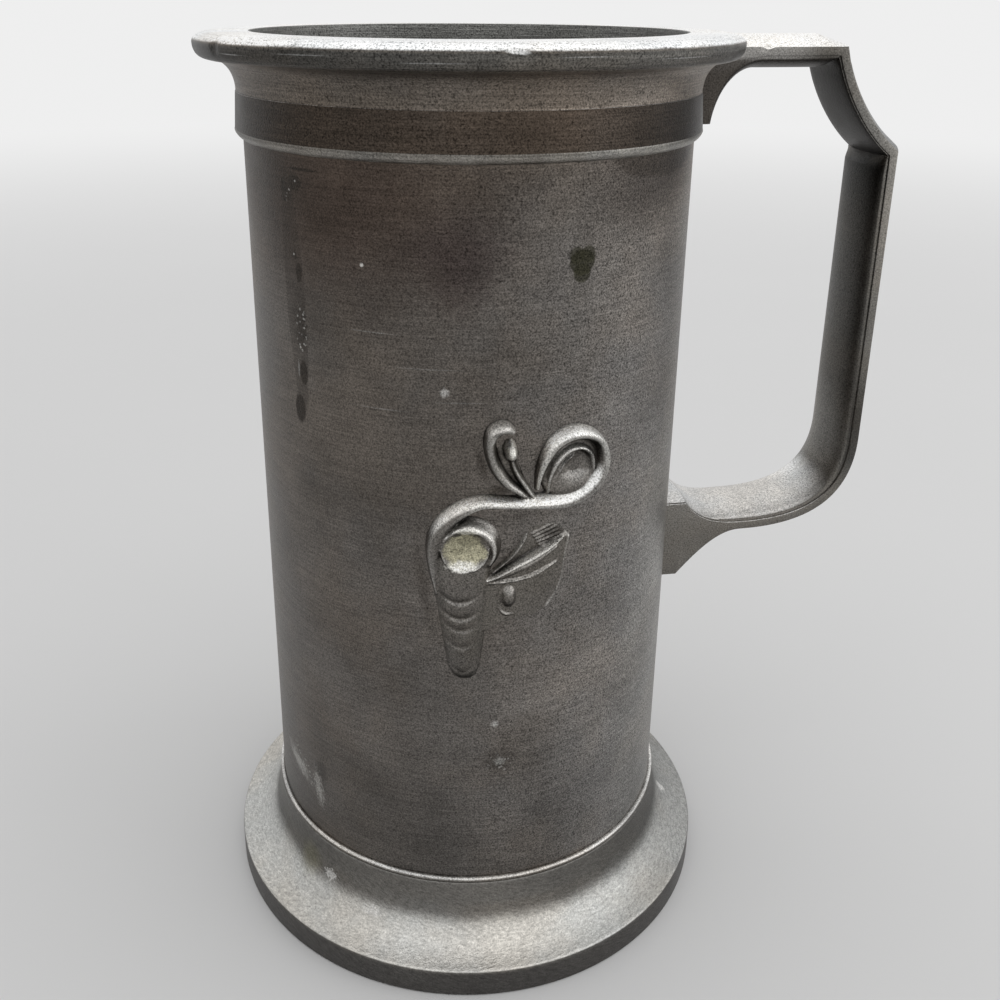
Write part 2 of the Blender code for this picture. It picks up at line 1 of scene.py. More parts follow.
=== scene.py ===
# %% [markdown]
# # A cast pewter litre measure
# The real cup is a handful of castings soldered together: a straight drum, a ring with a flat lip, a
# flared foot, a strap handle and a small scroll relief. This lesson dresses the plain solids of the
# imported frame: it turns, lofts and carves finer pieces over them and gives each its aged metal.

# %% Load the frame
import math

import bmesh
import bpy
import numpy as np
from mathutils import Matrix, Vector
from mathutils.geometry import interpolate_bezier


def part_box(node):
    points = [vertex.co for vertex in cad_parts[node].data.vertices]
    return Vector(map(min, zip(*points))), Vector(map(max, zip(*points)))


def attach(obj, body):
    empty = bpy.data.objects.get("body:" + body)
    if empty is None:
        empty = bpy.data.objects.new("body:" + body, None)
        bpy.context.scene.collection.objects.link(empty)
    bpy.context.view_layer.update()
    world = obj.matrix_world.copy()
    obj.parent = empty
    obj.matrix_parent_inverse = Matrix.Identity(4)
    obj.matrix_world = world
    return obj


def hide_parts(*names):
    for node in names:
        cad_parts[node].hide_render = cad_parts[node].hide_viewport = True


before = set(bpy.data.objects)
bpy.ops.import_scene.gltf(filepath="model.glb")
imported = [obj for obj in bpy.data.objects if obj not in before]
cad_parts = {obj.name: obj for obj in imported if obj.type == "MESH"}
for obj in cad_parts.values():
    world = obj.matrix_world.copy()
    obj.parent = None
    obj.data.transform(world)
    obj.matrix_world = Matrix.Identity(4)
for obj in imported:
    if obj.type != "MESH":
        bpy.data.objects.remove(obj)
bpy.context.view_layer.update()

MM = 0.001
scene = bpy.context.scene


def placed(name, data):
    """A new object in the scene that shows this data."""
    made = bpy.data.objects.new(name, data)
    scene.collection.objects.link(made)
    return made


print("frame nodes:", ", ".join(sorted(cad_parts)))

# %% [markdown]
# ## Sizes that come from the frame
# A piece has to sit exactly where its solid is, so the main sizes are measured on the frame's boxes.
# The drum's own box gives the axis that everything is turned about.

# %% Measure the frame
drum_low, drum_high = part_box("drum")
ring_low, ring_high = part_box("mouth_ring")
foot_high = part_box("foot")[1]
AXIS = Vector(((drum_low.x + drum_high.x) / 2, 0.0, 0.0))
DRUM_RADIUS = drum_high.y
LIP_RADIUS = ring_high.y
FOOT_RADIUS = foot_high.y
CUP_TOP = ring_high.z
COLLAR_FOOT = ring_low.z
FOOT_TOP = foot_high.z
GAP = 0.3 * MM
DRUM_WALL = 2.5 * MM
DRUM_BORE = DRUM_RADIUS - DRUM_WALL
print(f"drum {2000 * DRUM_RADIUS:.1f} mm across, cup {1000 * CUP_TOP:.1f} mm high")

# %% [markdown]
# ## Camera
# The photograph was taken from close by and a little above the rim, so the drum narrows strongly
# towards the foot. The camera stands at the distance and height that give the same ellipses for lip,
# collar and foot. The picture's optical middle lies off its centre, which the two shifts repeat.

# %% Stand the camera where the photograph was taken
PHOTO_PIXELS = 1000
FOCAL_PIXELS = 1097.3
OPTICAL_MIDDLE = (470.5, 401.2)
CAMERA_DISTANCE = 230.36 * MM
CAMERA_HEIGHT = 200.31 * MM
CAMERA_AROUND = math.radians(9.0)
CAMERA_HEADING = math.radians(-9.15)
CAMERA_PITCH = math.radians(-20.59)
CAMERA_ROLL = math.radians(0.28)

lens = bpy.data.cameras.new("camera")
lens.sensor_width = 36.0
lens.lens = lens.sensor_width * FOCAL_PIXELS / PHOTO_PIXELS
lens.shift_x = 0.5 - OPTICAL_MIDDLE[0] / PHOTO_PIXELS
lens.shift_y = OPTICAL_MIDDLE[1] / PHOTO_PIXELS - 0.5
lens.clip_start = 10 * MM
camera = placed("camera", lens)
stand = AXIS + Vector((
    -CAMERA_DISTANCE * math.sin(CAMERA_AROUND),
    -CAMERA_DISTANCE * math.cos(CAMERA_AROUND),
    CAMERA_HEIGHT,
))
level = math.radians(90.0)
camera.matrix_world = (
    Matrix.Translation(stand)
    @ Matrix.Rotation(CAMERA_HEADING, 4, "Z")
    @ Matrix.Rotation(level + CAMERA_PITCH, 4, "X")
    @ Matrix.Rotation(CAMERA_ROLL, 4, "Z")
)
scene.camera = camera
print(f"lens {lens.lens:.1f} mm, {1000 * CAMERA_DISTANCE:.0f} mm from the drum's axis")

# %% [markdown]
# ## Node helpers
# Both Geometry Nodes and shader trees are built from code here. Small helpers keep that short: one
# feeds a socket with a number or with another socket, one places a node and feeds it by name, and the
# others stand for the nodes that are used most.

# %% Helpers for node trees
def feed(tree, socket, value):
    """Set a socket to a plain value, or join it to another socket."""
    if isinstance(value, bpy.types.NodeSocket):
        tree.links.new(value, socket)
    else:
        socket.default_value = value


def node(tree, kind, inputs=None, **settings):
    """A node of this kind, with its settings and its inputs, which are named or numbered."""
    made = tree.nodes.new(kind)
    for name, value in settings.items():
        setattr(made, name, value)
    for name, value in (inputs or {}).items():
        feed(tree, made.inputs[name], value)
    return made


def maths(tree, operation, *values, clamp=False):
    """The result of one sum on numbers or sockets."""
    made = node(tree, "ShaderNodeMath", dict(enumerate(values)), operation=operation, use_clamp=clamp)
    return made.outputs[0]


def mixed(tree, factor, first, second, blend="MIX"):
    """Two colours mixed by a factor. The colour sockets of a Mix node are its sixth and seventh."""
    made = node(tree, "ShaderNodeMix", {0: factor, 6: first, 7: second}, data_type="RGBA", blend_type=blend)
    return made.outputs[2]


def ranged(tree, value, low, high, to_low=0.0, to_high=1.0):
    """A value eased from one range to another."""
    limits = {"Value": value, "From Min": low, "From Max": high, "To Min": to_low, "To Max": to_high}
    return node(tree, "ShaderNodeMapRange", limits, interpolation_type="SMOOTHSTEP").outputs[0]


def vectors(tree, operation, *values):
    """The result of one sum on vectors or colours; SCALE takes a vector and a number."""
    keys = (0, "Scale") if operation == "SCALE" else (0, 1)
    made = node(tree, "ShaderNodeVectorMath", dict(zip(keys, values)), operation=operation)
    return made.outputs["Value" if operation == "LENGTH" else "Vector"]


def joined(tree, **parts):
    """A vector from its X, Y and Z; what isn't given is zero."""
    return node(tree, "ShaderNodeCombineXYZ", parts).outputs[0]


def parted(tree, vector):
    """The X, Y and Z of a vector."""
    return node(tree, "ShaderNodeSeparateXYZ", {0: vector}).outputs


def socket(tree, name, kind, in_out="INPUT"):
    """A named socket on a node group's face."""
    return tree.interface.new_socket(name, in_out=in_out, socket_type="NodeSocket" + kind)


print("helpers ready")

# %% [markdown]
# ## Turning
# Drum, lip ring, foot and seams were cast and then turned on a lathe, so one rule makes them all: a
# closed profile swept about the axis. A Screw modifier could do it, but a node tree can also move
# each ring of points a hair inwards with a soft noise, because old pewter is never quite true. The
# tree lays out a grid, takes each row's radius and height from the profile and wraps the columns
# round the axis.

# %% A lathe in Geometry Nodes
WAVES_PER_METRE = 45.0
WELD = 0.001 * MM


def build_lathe():
    """The node tree, and its inputs' identifiers by name."""
    tree = bpy.data.node_groups.new("lathe", "GeometryNodeTree")
    socket(tree, "Profile", "Geometry")
    kinds = {
        "Profile Points": "Int",
        "Around": "Int",
        "Axis": "Vector",
        "Unevenness": "Float",
        "Metal": "Material",
    }
    identifiers = {name: socket(tree, name, kind).identifier for name, kind in kinds.items()}
    socket(tree, "Piece", "Geometry", "OUTPUT")
    given = node(tree, "NodeGroupInput").outputs
    rows = maths(tree, "ADD", given["Profile Points"], 1)
    columns = maths(tree, "ADD", given["Around"], 1)
    grid = node(tree, "GeometryNodeMeshGrid", {"Vertices X": columns, "Vertices Y": rows})
    index = node(tree, "GeometryNodeInputIndex").outputs[0]
    row = maths(tree, "MODULO", maths(tree, "MODULO", index, rows), given["Profile Points"])
    column = maths(tree, "FLOOR", maths(tree, "DIVIDE", index, rows))
    turn = maths(tree, "DIVIDE", maths(tree, "MULTIPLY", column, 2 * math.pi), given["Around"])
    place = node(tree, "GeometryNodeInputPosition").outputs[0]
    sample = {"Geometry": given["Profile"], "Value": place, "Index": row}
    point = node(tree, "GeometryNodeSampleIndex", sample, data_type="FLOAT_VECTOR")
    profile = parted(tree, point.outputs[0])
    side = joined(tree, X=maths(tree, "COSINE", turn), Y=maths(tree, "SINE", turn))
    out = vectors(tree, "SCALE", side, profile["X"])
    true_place = vectors(tree, "ADD", out, joined(tree, Z=profile["Z"]))
    waves = {"Vector": true_place, "Scale": WAVES_PER_METRE, "Detail": 2.0}
    waves = node(tree, "ShaderNodeTexNoise", waves).outputs["Fac"]
    inwards = maths(tree, "MULTIPLY", waves, given["Unevenness"])
    worn_place = vectors(tree, "SUBTRACT", true_place, vectors(tree, "SCALE", side, inwards))
    worn_place = vectors(tree, "ADD", worn_place, given["Axis"])
    moved = {"Geometry": grid.outputs["Mesh"], "Position": worn_place}
    metal = node(tree, "GeometryNodeSetPosition", moved)
    for kind, inputs in (
        ("GeometryNodeMergeByDistance", {"Distance": WELD}),
        ("GeometryNodeRealizeInstances", {}),
        ("GeometryNodeSetMaterial", {"Material": given["Metal"]}),
    ):
        metal = node(tree, kind, {"Geometry": metal.outputs[0], **inputs})
    node(tree, "NodeGroupOutput", {"Piece": metal.outputs[0]})
    return tree, identifiers


LATHE, LATHE_INPUTS = build_lathe()
print("lathe inputs:", ", ".join(LATHE_INPUTS))

# %% Turn a profile into a finished piece
SMOOTH_ANGLE = math.radians(35)


def shade_smooth(mesh):
    """Smooth shading with crisp edges kept, and faces that point outwards."""
    shape = bmesh.new()
    shape.from_mesh(mesh)
    loose = [edge for edge in shape.edges if not edge.link_faces]
    bmesh.ops.delete(shape, geom=loose, context="EDGES")
    bmesh.ops.recalc_face_normals(shape, faces=shape.faces)
    shape.to_mesh(mesh)
    shape.free()
    mesh.shade_smooth()
    mesh.set_sharp_from_angle(angle=SMOOTH_ANGLE)


def plain_piece(name, source):
    """The evaluated source as a new object with a plain mesh; the source is removed."""
    bpy.context.view_layer.update()
    graph = bpy.context.evaluated_depsgraph_get()
    mesh = bpy.data.meshes.new_from_object(source.evaluated_get(graph))
    bpy.data.objects.remove(source)
    if mesh.materials and not mesh.materials[0]:
        mesh.materials.pop(index=0)
    mesh.name = name
    shade_smooth(mesh)
    return placed(name, mesh)


def turned(name, profile, metal, around=384, unevenness=0.05 * MM):
    """A closed profile of (radius, height) points turned about the drum's axis."""
    mesh = bpy.data.meshes.new(name + "_profile")
    count = len(profile)
    mesh.from_pydata([(r, 0.0, z) for r, z in profile], [(i, (i + 1) % count) for i in range(count)], [])
    source = placed(name + "_profile", mesh)
    lathe = source.modifiers.new("lathe", "NODES")
    lathe.node_group = LATHE
    values = {
        "Profile Points": count,
        "Around": around,
        "Axis": tuple(AXIS),
        "Unevenness": unevenness,
        "Metal": metal,
    }
    for key, value in values.items():
        lathe[LATHE_INPUTS[key]] = value
    made = plain_piece(name, source)
    print(f"{name}: {len(made.data.polygons)} faces")
    return made


print("turning ready")

# %% Curves for profiles
CORNER_SHARE = 0.45


def eased(start, corner, end, count, leave=0.6, arrive=0.6):
    """Points along a curve in the plane that leaves start toward corner and comes from it into end."""
    start, corner, end = Vector(start), Vector(corner), Vector(end)
    knots = [start, start.lerp(corner, leave), end.lerp(corner, arrive), end]
    return [p.to_2d() for p in interpolate_bezier(*[knot.to_3d() for knot in knots], count)]


def softened(outline, radius, steps=5):
    """A closed outline with its sharp corners rounded."""
    points = [Vector(p) for p in outline]
    result = []
    for index, here in enumerate(points):
        before = points[index - 1] - here
        after = points[(index + 1) % len(points)] - here
        if before.angle(-after) < SMOOTH_ANGLE / 2:
            result.append(here)
            continue
        start = here + before.normalized() * min(radius, before.length * CORNER_SHARE)
        end = here + after.normalized() * min(radius, after.length * CORNER_SHARE)
        result += eased(start, here, end, steps)
    return result


def divided(outline, longest):
    """A closed outline with extra points on its long straight stretches."""
    result = []
    for index, here in enumerate(outline):
        after = Vector(outline[(index + 1) % len(outline)])
        parts = max(1, math.ceil((after - Vector(here)).length / longest))
        result += [Vector(here).lerp(after, step / parts) for step in range(parts)]
    return result


print("profile helpers ready")

# %% [markdown]
# ## Floor, backdrop and light
# Metal shows what stands round it, so a pale room with no hard lamps suits it. A large pale floor
# catches the shadow, the world is the same pale tone for the camera and for reflections, and two wide
# soft panels give direction: one overhead, which lifts the lip, the bar and the foot as in the
# photograph, and a weaker one from the right.

# %% Lay the pale floor
FLOOR_TONE = 0.72
ROOM_TONE = 0.86
ROOM_FILL = 0.74
FADE_START = 0.35
FADE_END = 1.6
FLOOR_SIZE = 40.0
FLOOR_DROP = -0.05 * MM
FLOOR_MOTTLE = 0.01
MOTTLES_PER_METRE = 6.0
FLOOR_ROUGHNESS = 0.9
FLOOR_GLOSS = 0.1
scene.view_settings.view_transform = "Standard"


def seen_directly(tree):
    """1 for what the camera, a reflection or a clear material sees, 0 for plain light."""
    rays = node(tree, "ShaderNodeLightPath").outputs
    seen = maths(tree, "MAXIMUM", rays["Is Camera Ray"], rays["Is Glossy Ray"])
    return maths(tree, "MAXIMUM", seen, rays["Is Transmission Ray"])


def add_floor():
    """A wide pale floor just below the foot, which fades into the room's tone far away."""
    bpy.ops.mesh.primitive_plane_add(size=FLOOR_SIZE, location=(0.0, 0.0, FLOOR_DROP))
    floor = bpy.context.object
    floor.name = "floor"
    floor.data.name = "floor"
    pale = bpy.data.materials.new("pale_floor")
    pale.use_nodes = True
    tree = pale.node_tree
    shader = tree.nodes["Principled BSDF"]
    shader.inputs["Roughness"].default_value = FLOOR_ROUGHNESS
    shader.inputs["Specular IOR Level"].default_value = FLOOR_GLOSS
    where = node(tree, "ShaderNodeTexCoord").outputs["Object"]
    mottle = node(tree, "ShaderNodeTexNoise", {"Vector": where, "Scale": MOTTLES_PER_METRE})
    ramp = node(tree, "ShaderNodeValToRGB", {0: mottle.outputs["Fac"]})
    for stop, tone in zip(ramp.color_ramp.elements, (FLOOR_TONE - FLOOR_MOTTLE, FLOOR_TONE + FLOOR_MOTTLE)):
        stop.color = (tone, tone, tone, 1.0)
    tree.links.new(ramp.outputs[0], shader.inputs["Base Color"])
    away = vectors(tree, "LENGTH", where)
    fade = maths(tree, "MULTIPLY", ranged(tree, away, FADE_START, FADE_END), seen_directly(tree))
    distance = node(tree, "ShaderNodeEmission", {"Color": (1.0, 1.0, 1.0, 1.0), "Strength": ROOM_TONE})
    both = node(tree, "ShaderNodeMixShader", {0: fade, 1: shader.outputs[0], 2: distance.outputs[0]})
    tree.links.new(both.outputs[0], tree.nodes["Material Output"].inputs["Surface"])
    floor.data.materials.append(pale)


add_floor()
print("floor ready")

# %% Light the room
def add_room():
    """A pale world: the backdrop's tone for camera and reflections, a lower fill for plain light."""
    world = bpy.data.worlds.new("room")
    world.use_nodes = True
    tree = world.node_tree
    tree.nodes.clear()
    level = maths(tree, "MULTIPLY_ADD", seen_directly(tree), ROOM_TONE - ROOM_FILL, ROOM_FILL)
    light = node(tree, "ShaderNodeBackground", {"Color": (1.0, 1.0, 1.0, 1.0), "Strength": level})
    node(tree, "ShaderNodeOutputWorld", {"Surface": light.outputs[0]})
    scene.world = world


def add_panel(name, place, size, watts):
    """A square soft panel that faces the middle of the cup."""
    lamp = bpy.data.lights.new(name, "AREA")
    lamp.shape = "SQUARE"
    lamp.size = size
    lamp.energy = watts
    panel = placed(name, lamp)
    panel.location = place
    target = Vector((0.0, 0.0, CUP_TOP / 2))
    panel.rotation_euler = (target - Vector(place)).to_track_quat("-Z", "Y").to_euler()


add_room()
add_panel("overhead_panel", place=(0.1, 0.15, 1.1), size=1.6, watts=2.6)
add_panel("right_panel", place=(0.9, -0.35, 0.5), size=0.8, watts=1.6)
print("room ready")

# %% [markdown]
# ## Places on the cup
# Stains, drips and scuffs belong to spots on the drum, so the shaders need to know where a point
# lies: how far across from the front, measured along the wall, and how high up. A node group works
# both out from Object coordinates, in millimetres, and a second group turns a spot's place and size
# into a soft mask with a ragged edge.

# %% A shader group for places
def shader_group(name, colours_in, values_in, colours_out, values_out):
    """A new shader group with these sockets, and the sockets that it is given."""
    tree = bpy.data.node_groups.new(name, "ShaderNodeTree")
    for in_out, colours, values in (("INPUT", colours_in, values_in), ("OUTPUT", colours_out, values_out)):
        for label in colours:
            socket(tree, label, "Color", in_out)
        for label in values:
            socket(tree, label, "Float", in_out)
    return tree, node(tree, "NodeGroupInput").outputs


def build_places():
    """Across and Up on the drum in millimetres, and the distance Out from its axis."""
    tree = shader_group("place_on_cup", (), (), (), ("Across", "Up", "Out"))[0]
    where = node(tree, "ShaderNodeTexCoord").outputs["Object"]
    split = parted(tree, vectors(tree, "SUBTRACT", where, tuple(AXIS)))
    angle = maths(tree, "ARCTAN2", split["X"], maths(tree, "MULTIPLY", split["Y"], -1.0))
    out = vectors(tree, "LENGTH", joined(tree, X=split["X"], Y=split["Y"]))
    places = {
        "Across": maths(tree, "MULTIPLY", angle, DRUM_RADIUS / MM),
        "Up": maths(tree, "DIVIDE", split["Z"], MM),
        "Out": maths(tree, "DIVIDE", out, MM),
    }
    node(tree, "NodeGroupOutput", places)
    return tree


PLACES = build_places()
print("shader group:", PLACES.name)

# %% A shader group for spots
FRAY_NOISE = {"Detail": 4.0, "Roughness": 0.65}


def build_spot():
    """A soft oval mask round a place; Lean shifts it across as it goes up.

    Ragged and Fray set how far and how finely its edge is torn, and a low Streak draws that out.
    """
    values = ["Across", "Up", "Centre Across", "Centre Up", "Half Width", "Half Height"]
    values += ["Lean", "Softness", "Ragged", "Fray", "Streak"]
    tree, given = shader_group("soft_spot", (), values, (), ("Mask",))
    rise = maths(tree, "SUBTRACT", given["Up"], given["Centre Up"])
    shift = maths(tree, "MULTIPLY", rise, given["Lean"])
    run = maths(tree, "SUBTRACT", maths(tree, "SUBTRACT", given["Across"], given["Centre Across"]), shift)
    wide = maths(tree, "DIVIDE", run, given["Half Width"])
    tall = maths(tree, "DIVIDE", rise, given["Half Height"])
    reach = vectors(tree, "LENGTH", joined(tree, X=wide, Y=tall))
    streak = maths(tree, "MULTIPLY", rise, given["Streak"])
    where = joined(tree, X=run, Y=streak, Z=given["Centre Across"])
    frays = {"Vector": where, "Scale": given["Fray"], **FRAY_NOISE}
    frays = node(tree, "ShaderNodeTexNoise", frays).outputs["Fac"]
    fray = maths(tree, "MULTIPLY", maths(tree, "SUBTRACT", frays, 0.5), given["Ragged"])
    core = maths(tree, "SUBTRACT", 1.0, given["Softness"])
    mask = ranged(tree, maths(tree, "ADD", reach, fray), core, 1.0, 1.0, 0.0)
    node(tree, "NodeGroupOutput", {"Mask": mask})
    return tree


SPOT = build_spot()


def group(tree, which, inputs=None):
    """A shader group placed in a tree, with its inputs."""
    made = tree.nodes.new("ShaderNodeGroup")
    made.node_tree = which
    for name, value in (inputs or {}).items():
        feed(tree, made.inputs[name], value)
    return made.outputs


print("shader group:", SPOT.name)

# %% [markdown]
# ## Aged pewter
# Pewter dulls to a grey-brown skin. Its colour also carries painted light and shade: what faces up is
# painted bright, as if lit from above, and what faces down is painted dark. One group holds that: three
# tones for what faces up, sideways and down, cloudy blotches, a fine grain of pits and specks, and a
# height for the bump. A photographed texture would show more, but it could not follow every piece from
# all sides.

# %% The aged pewter group
WARM = (1.03, 1.0, 0.965, 1.0)
COOL = (0.985, 1.0, 1.015, 1.0)
CLOUDS = (60.0, 7.0, 0.62)
TINTS = (38.0, 3.0, 0.6)
GRAIN = (3000.0, 1.0, 0.8)
PITS = (1500.0, 1.0, 0.5)
PIT_EDGE = (-0.2, -0.1)
TINT_EDGE = (-0.15, 0.15)
UNDER_EDGE = (-0.1, -0.6)
TOP_FADE = 0.35
CLOUD_TILT = 0.2
CLOUD_SPAN = 2.0
GRAIN_SPAN = 4.0
# The three tones paint light and shade: a lit top, a plain side and a shaded underside.
TONES = ("Top Tone", "Side Tone", "Under Tone")


def build_pewter():
    """Old pewter: its Tone by facing, and the Mottle of clouds, grain and pits that lies over it."""
    values = ("Top Edge", "Cloud", "Grain", "Pits")
    made = ("Mottle", "Height", "Clouds")
    tree, given = shader_group("aged_pewter", TONES, values, ("Tone",), made)
    where = node(tree, "ShaderNodeTexCoord").outputs["Object"]
    normal = node(tree, "ShaderNodeNewGeometry").outputs["Normal"]
    facing = parted(tree, normal)["Z"]

    def noise(scale, detail, roughness):
        """A noise over the piece, centred on zero."""
        inputs = {"Vector": where, "Scale": scale, "Detail": detail, "Roughness": roughness}
        return maths(tree, "SUBTRACT", node(tree, "ShaderNodeTexNoise", inputs).outputs["Fac"], 0.5)

    clouds = noise(*CLOUDS)
    tint = noise(*TINTS)
    grain = noise(*GRAIN)
    open_skin = ranged(tree, noise(*PITS), *PIT_EDGE)
    # Painted light and shade: the top tone where the face turns up, the under tone where it turns down.
    turned_up = maths(tree, "MULTIPLY_ADD", clouds, CLOUD_TILT, facing)
    top_start = maths(tree, "SUBTRACT", given["Top Edge"], TOP_FADE)
    top = ranged(tree, turned_up, top_start, given["Top Edge"])
    under = ranged(tree, turned_up, *UNDER_EDGE)
    tone = mixed(tree, under, given["Side Tone"], given["Under Tone"])
    tone = mixed(tree, top, tone, given["Top Tone"])
    tone = mixed(tree, 1.0, tone, mixed(tree, ranged(tree, tint, *TINT_EDGE), WARM, COOL), "MULTIPLY")
    cloudy = maths(tree, "MULTIPLY", clouds, given["Cloud"])
    cloudy = maths(tree, "MULTIPLY_ADD", cloudy, CLOUD_SPAN, 1.0)
    grainy = maths(tree, "MULTIPLY", grain, given["Grain"])
    grainy = maths(tree, "MULTIPLY_ADD", grainy, GRAIN_SPAN, 1.0)
    pitted = maths(tree, "MULTIPLY", maths(tree, "SUBTRACT", 1.0, open_skin), given["Pits"])
    whole = maths(tree, "SUBTRACT", 1.0, pitted)
    mottle = maths(tree, "MULTIPLY", maths(tree, "MULTIPLY", cloudy, grainy), whole)
    height = maths(tree, "ADD", whole, grain)
    made = {"Tone": tone, "Mottle": mottle, "Height": height, "Clouds": clouds}
    node(tree, "NodeGroupOutput", made)
    return tree


PEWTER = build_pewter()
print("shader group:", PEWTER.name)

# %% A shader group for turning lines
LINE_STRETCH = 0.03
LINE_NOISE = {"Detail": 3.0, "Roughness": 0.7}


def build_lines():
    """Fine lines left by turning and wiping, which run round the axis; Lean turns them askew."""
    values = ("Across", "Up", "Out", "Fineness", "Lean")
    tree, given = shader_group("turning_lines", (), values, (), ("Lines",))
    askew = maths(tree, "MULTIPLY", given["Across"], given["Lean"])
    where = joined(
        tree,
        X=maths(tree, "MULTIPLY", given["Across"], LINE_STRETCH),
        Y=maths(tree, "ADD", given["Up"], askew),
        Z=maths(tree, "ADD", given["Out"], askew),
    )
    inputs = {"Vector": where, "Scale": given["Fineness"], **LINE_NOISE}
    lines = node(tree, "ShaderNodeTexNoise", inputs).outputs["Fac"]
    node(tree, "NodeGroupOutput", {"Lines": maths(tree, "SUBTRACT", lines, 0.5)})
    return tree


LINES = build_lines()
print("shader group:", LINES.name)

# %% [markdown]
# ## One recipe for every piece
# The castings are one metal, but each wears in its own way and takes its own painted light and
# shade. The recipe below takes the tones and the amounts for one piece, then the marks that only this
# piece carries, and builds its material. Plain numbers stay on the shader's own sockets, and only what
# changes over the surface is wired to it.

# %% Marks and tone runs
CRUMBS_PER_MM = 1.1
CRUMB_EDGE = (0.36, 0.2)


def spot(across, up, half_width, half_height, tone, strength, lean=0.0, softness=0.6, ragged=0.5,
         fray=0.7, streak=1.0, crumbs=False):
    """A mark on the cup: its place and size in millimetres, its tone and how strongly it shows."""
    face = {
        "Centre Across": across,
        "Centre Up": up,
        "Half Width": half_width,
        "Half Height": half_height,
        "Lean": lean,
        "Softness": softness,
        "Ragged": ragged,
        "Fray": fray,
        "Streak": streak,
    }
    return face, tone, strength, crumbs


def grey(level, warmth=0.0):
    """A tone of this level; warmth moves it towards brown."""
    return (level * (1 + warmth), level, level * (1 - warmth))


def tone_ramp(tree, value, tones):
    """A soft run of tones; each is the value at which it shows, and its colour or level of grey."""
    low, high = tones[0][0], tones[-1][0]
    share = node(tree, "ShaderNodeMapRange", {"Value": value, "From Min": low, "From Max": high}).outputs[0]
    ramp = node(tree, "ShaderNodeValToRGB", {0: share})
    stops = ramp.color_ramp.elements
    while len(stops) < len(tones):
        stops.new(0.5)
    for stop, (at, tone) in zip(stops, tones):
        stop.position = (at - low) / (high - low)
        colour = grey(tone) if isinstance(tone, float) else tone
        stop.color = (*colour, 1.0)
    return ramp.outputs[0]


def toned(tree, colour, value, tones):
    """A colour multiplied by a run of tones."""
    return mixed(tree, 1.0, colour, tone_ramp(tree, value, tones), "MULTIPLY")


def scattered(tree, place):
    """A mask of scattered crumbs a fraction of a millimetre wide."""
    where = joined(tree, X=place["Across"], Y=place["Up"])
    cells = node(tree, "ShaderNodeTexVoronoi", {"Vector": where, "Scale": CRUMBS_PER_MM}).outputs
    return ranged(tree, cells["Distance"], *CRUMB_EDGE)


print("marks and tone runs ready")

# %% Build a piece's material
LINE_SPAN = 2.0
ROUGH_SPAN = 0.3
BUMP_DEPTH = 0.4 * MM
SCRATCH_FINENESS = 1.1
SCRATCH_LEAN = 0.04
SCRATCH_EDGE = (0.2, 0.3)


def pewter(name, tones, top_edge=0.8, cloud=0.5, grain=0.5, pits=0.16, lines=0.5, fineness=2.6, lean=0.0,
           scratch=0.5, rough=0.42, bump=0.2, dress=None, marks=()):
    """A material of aged pewter from its top, side and under tones.

    The amounts set how strongly its clouds, grain, pits, turning lines and scratches show. dress is
    a function that changes the tone for one piece, and marks are its spots. The mottle lies over all.
    grain is a plain amount, or a run of amounts round the cup.
    """
    metal = bpy.data.materials.new(name)
    metal.use_nodes = True
    tree = metal.node_tree
    shader = tree.nodes["Principled BSDF"]
    shader.inputs["Metallic"].default_value = 1.0
    place = group(tree, PLACES)
    spots = {"Across": place["Across"], "Up": place["Up"]}
    # The top tone is painted light and the under tone painted shade.
    skin_inputs = {key: (*tone, 1.0) for key, tone in zip(TONES, tones)}
    if isinstance(grain, list):
        grain = tone_ramp(tree, place["Across"], grain)
    skin_inputs.update({"Top Edge": top_edge, "Cloud": cloud, "Grain": grain, "Pits": pits})
    skin = group(tree, PEWTER, skin_inputs)
    colour = skin["Tone"]
    if dress:
        colour = dress(tree, place, colour)
    for face, tone, strength, crumbs in marks:
        mask = group(tree, SPOT, {**spots, **face})["Mask"]
        if crumbs:
            mask = maths(tree, "MULTIPLY", mask, scattered(tree, place))
        colour = mixed(tree, maths(tree, "MULTIPLY", mask, strength), colour, (*tone, 1.0))
    turning = {**spots, "Out": place["Out"]}
    rings = group(tree, LINES, {**turning, "Fineness": fineness, "Lean": lean})["Lines"]
    scores = {**turning, "Fineness": SCRATCH_FINENESS, "Lean": SCRATCH_LEAN}
    scored = ranged(tree, group(tree, LINES, scores)["Lines"], *SCRATCH_EDGE)
    lined = maths(tree, "MULTIPLY_ADD", rings, LINE_SPAN * lines, 1.0)
    shine = maths(tree, "MULTIPLY", skin["Mottle"], lined)
    shine = maths(tree, "MULTIPLY", shine, maths(tree, "MULTIPLY_ADD", scored, scratch, 1.0))
    tree.links.new(vectors(tree, "SCALE", colour, shine), shader.inputs["Base Color"])
    sheen = maths(tree, "MULTIPLY_ADD", skin["Clouds"], ROUGH_SPAN, rough)
    tree.links.new(sheen, shader.inputs["Roughness"])
    height = maths(tree, "MULTIPLY_ADD", rings, LINE_SPAN * lines, skin["Height"])
    relief = node(tree, "ShaderNodeBump", {"Height": height, "Strength": bump, "Distance": BUMP_DEPTH})
    tree.links.new(relief.outputs[0], shader.inputs["Normal"])
    return metal


print("pewter recipe ready")
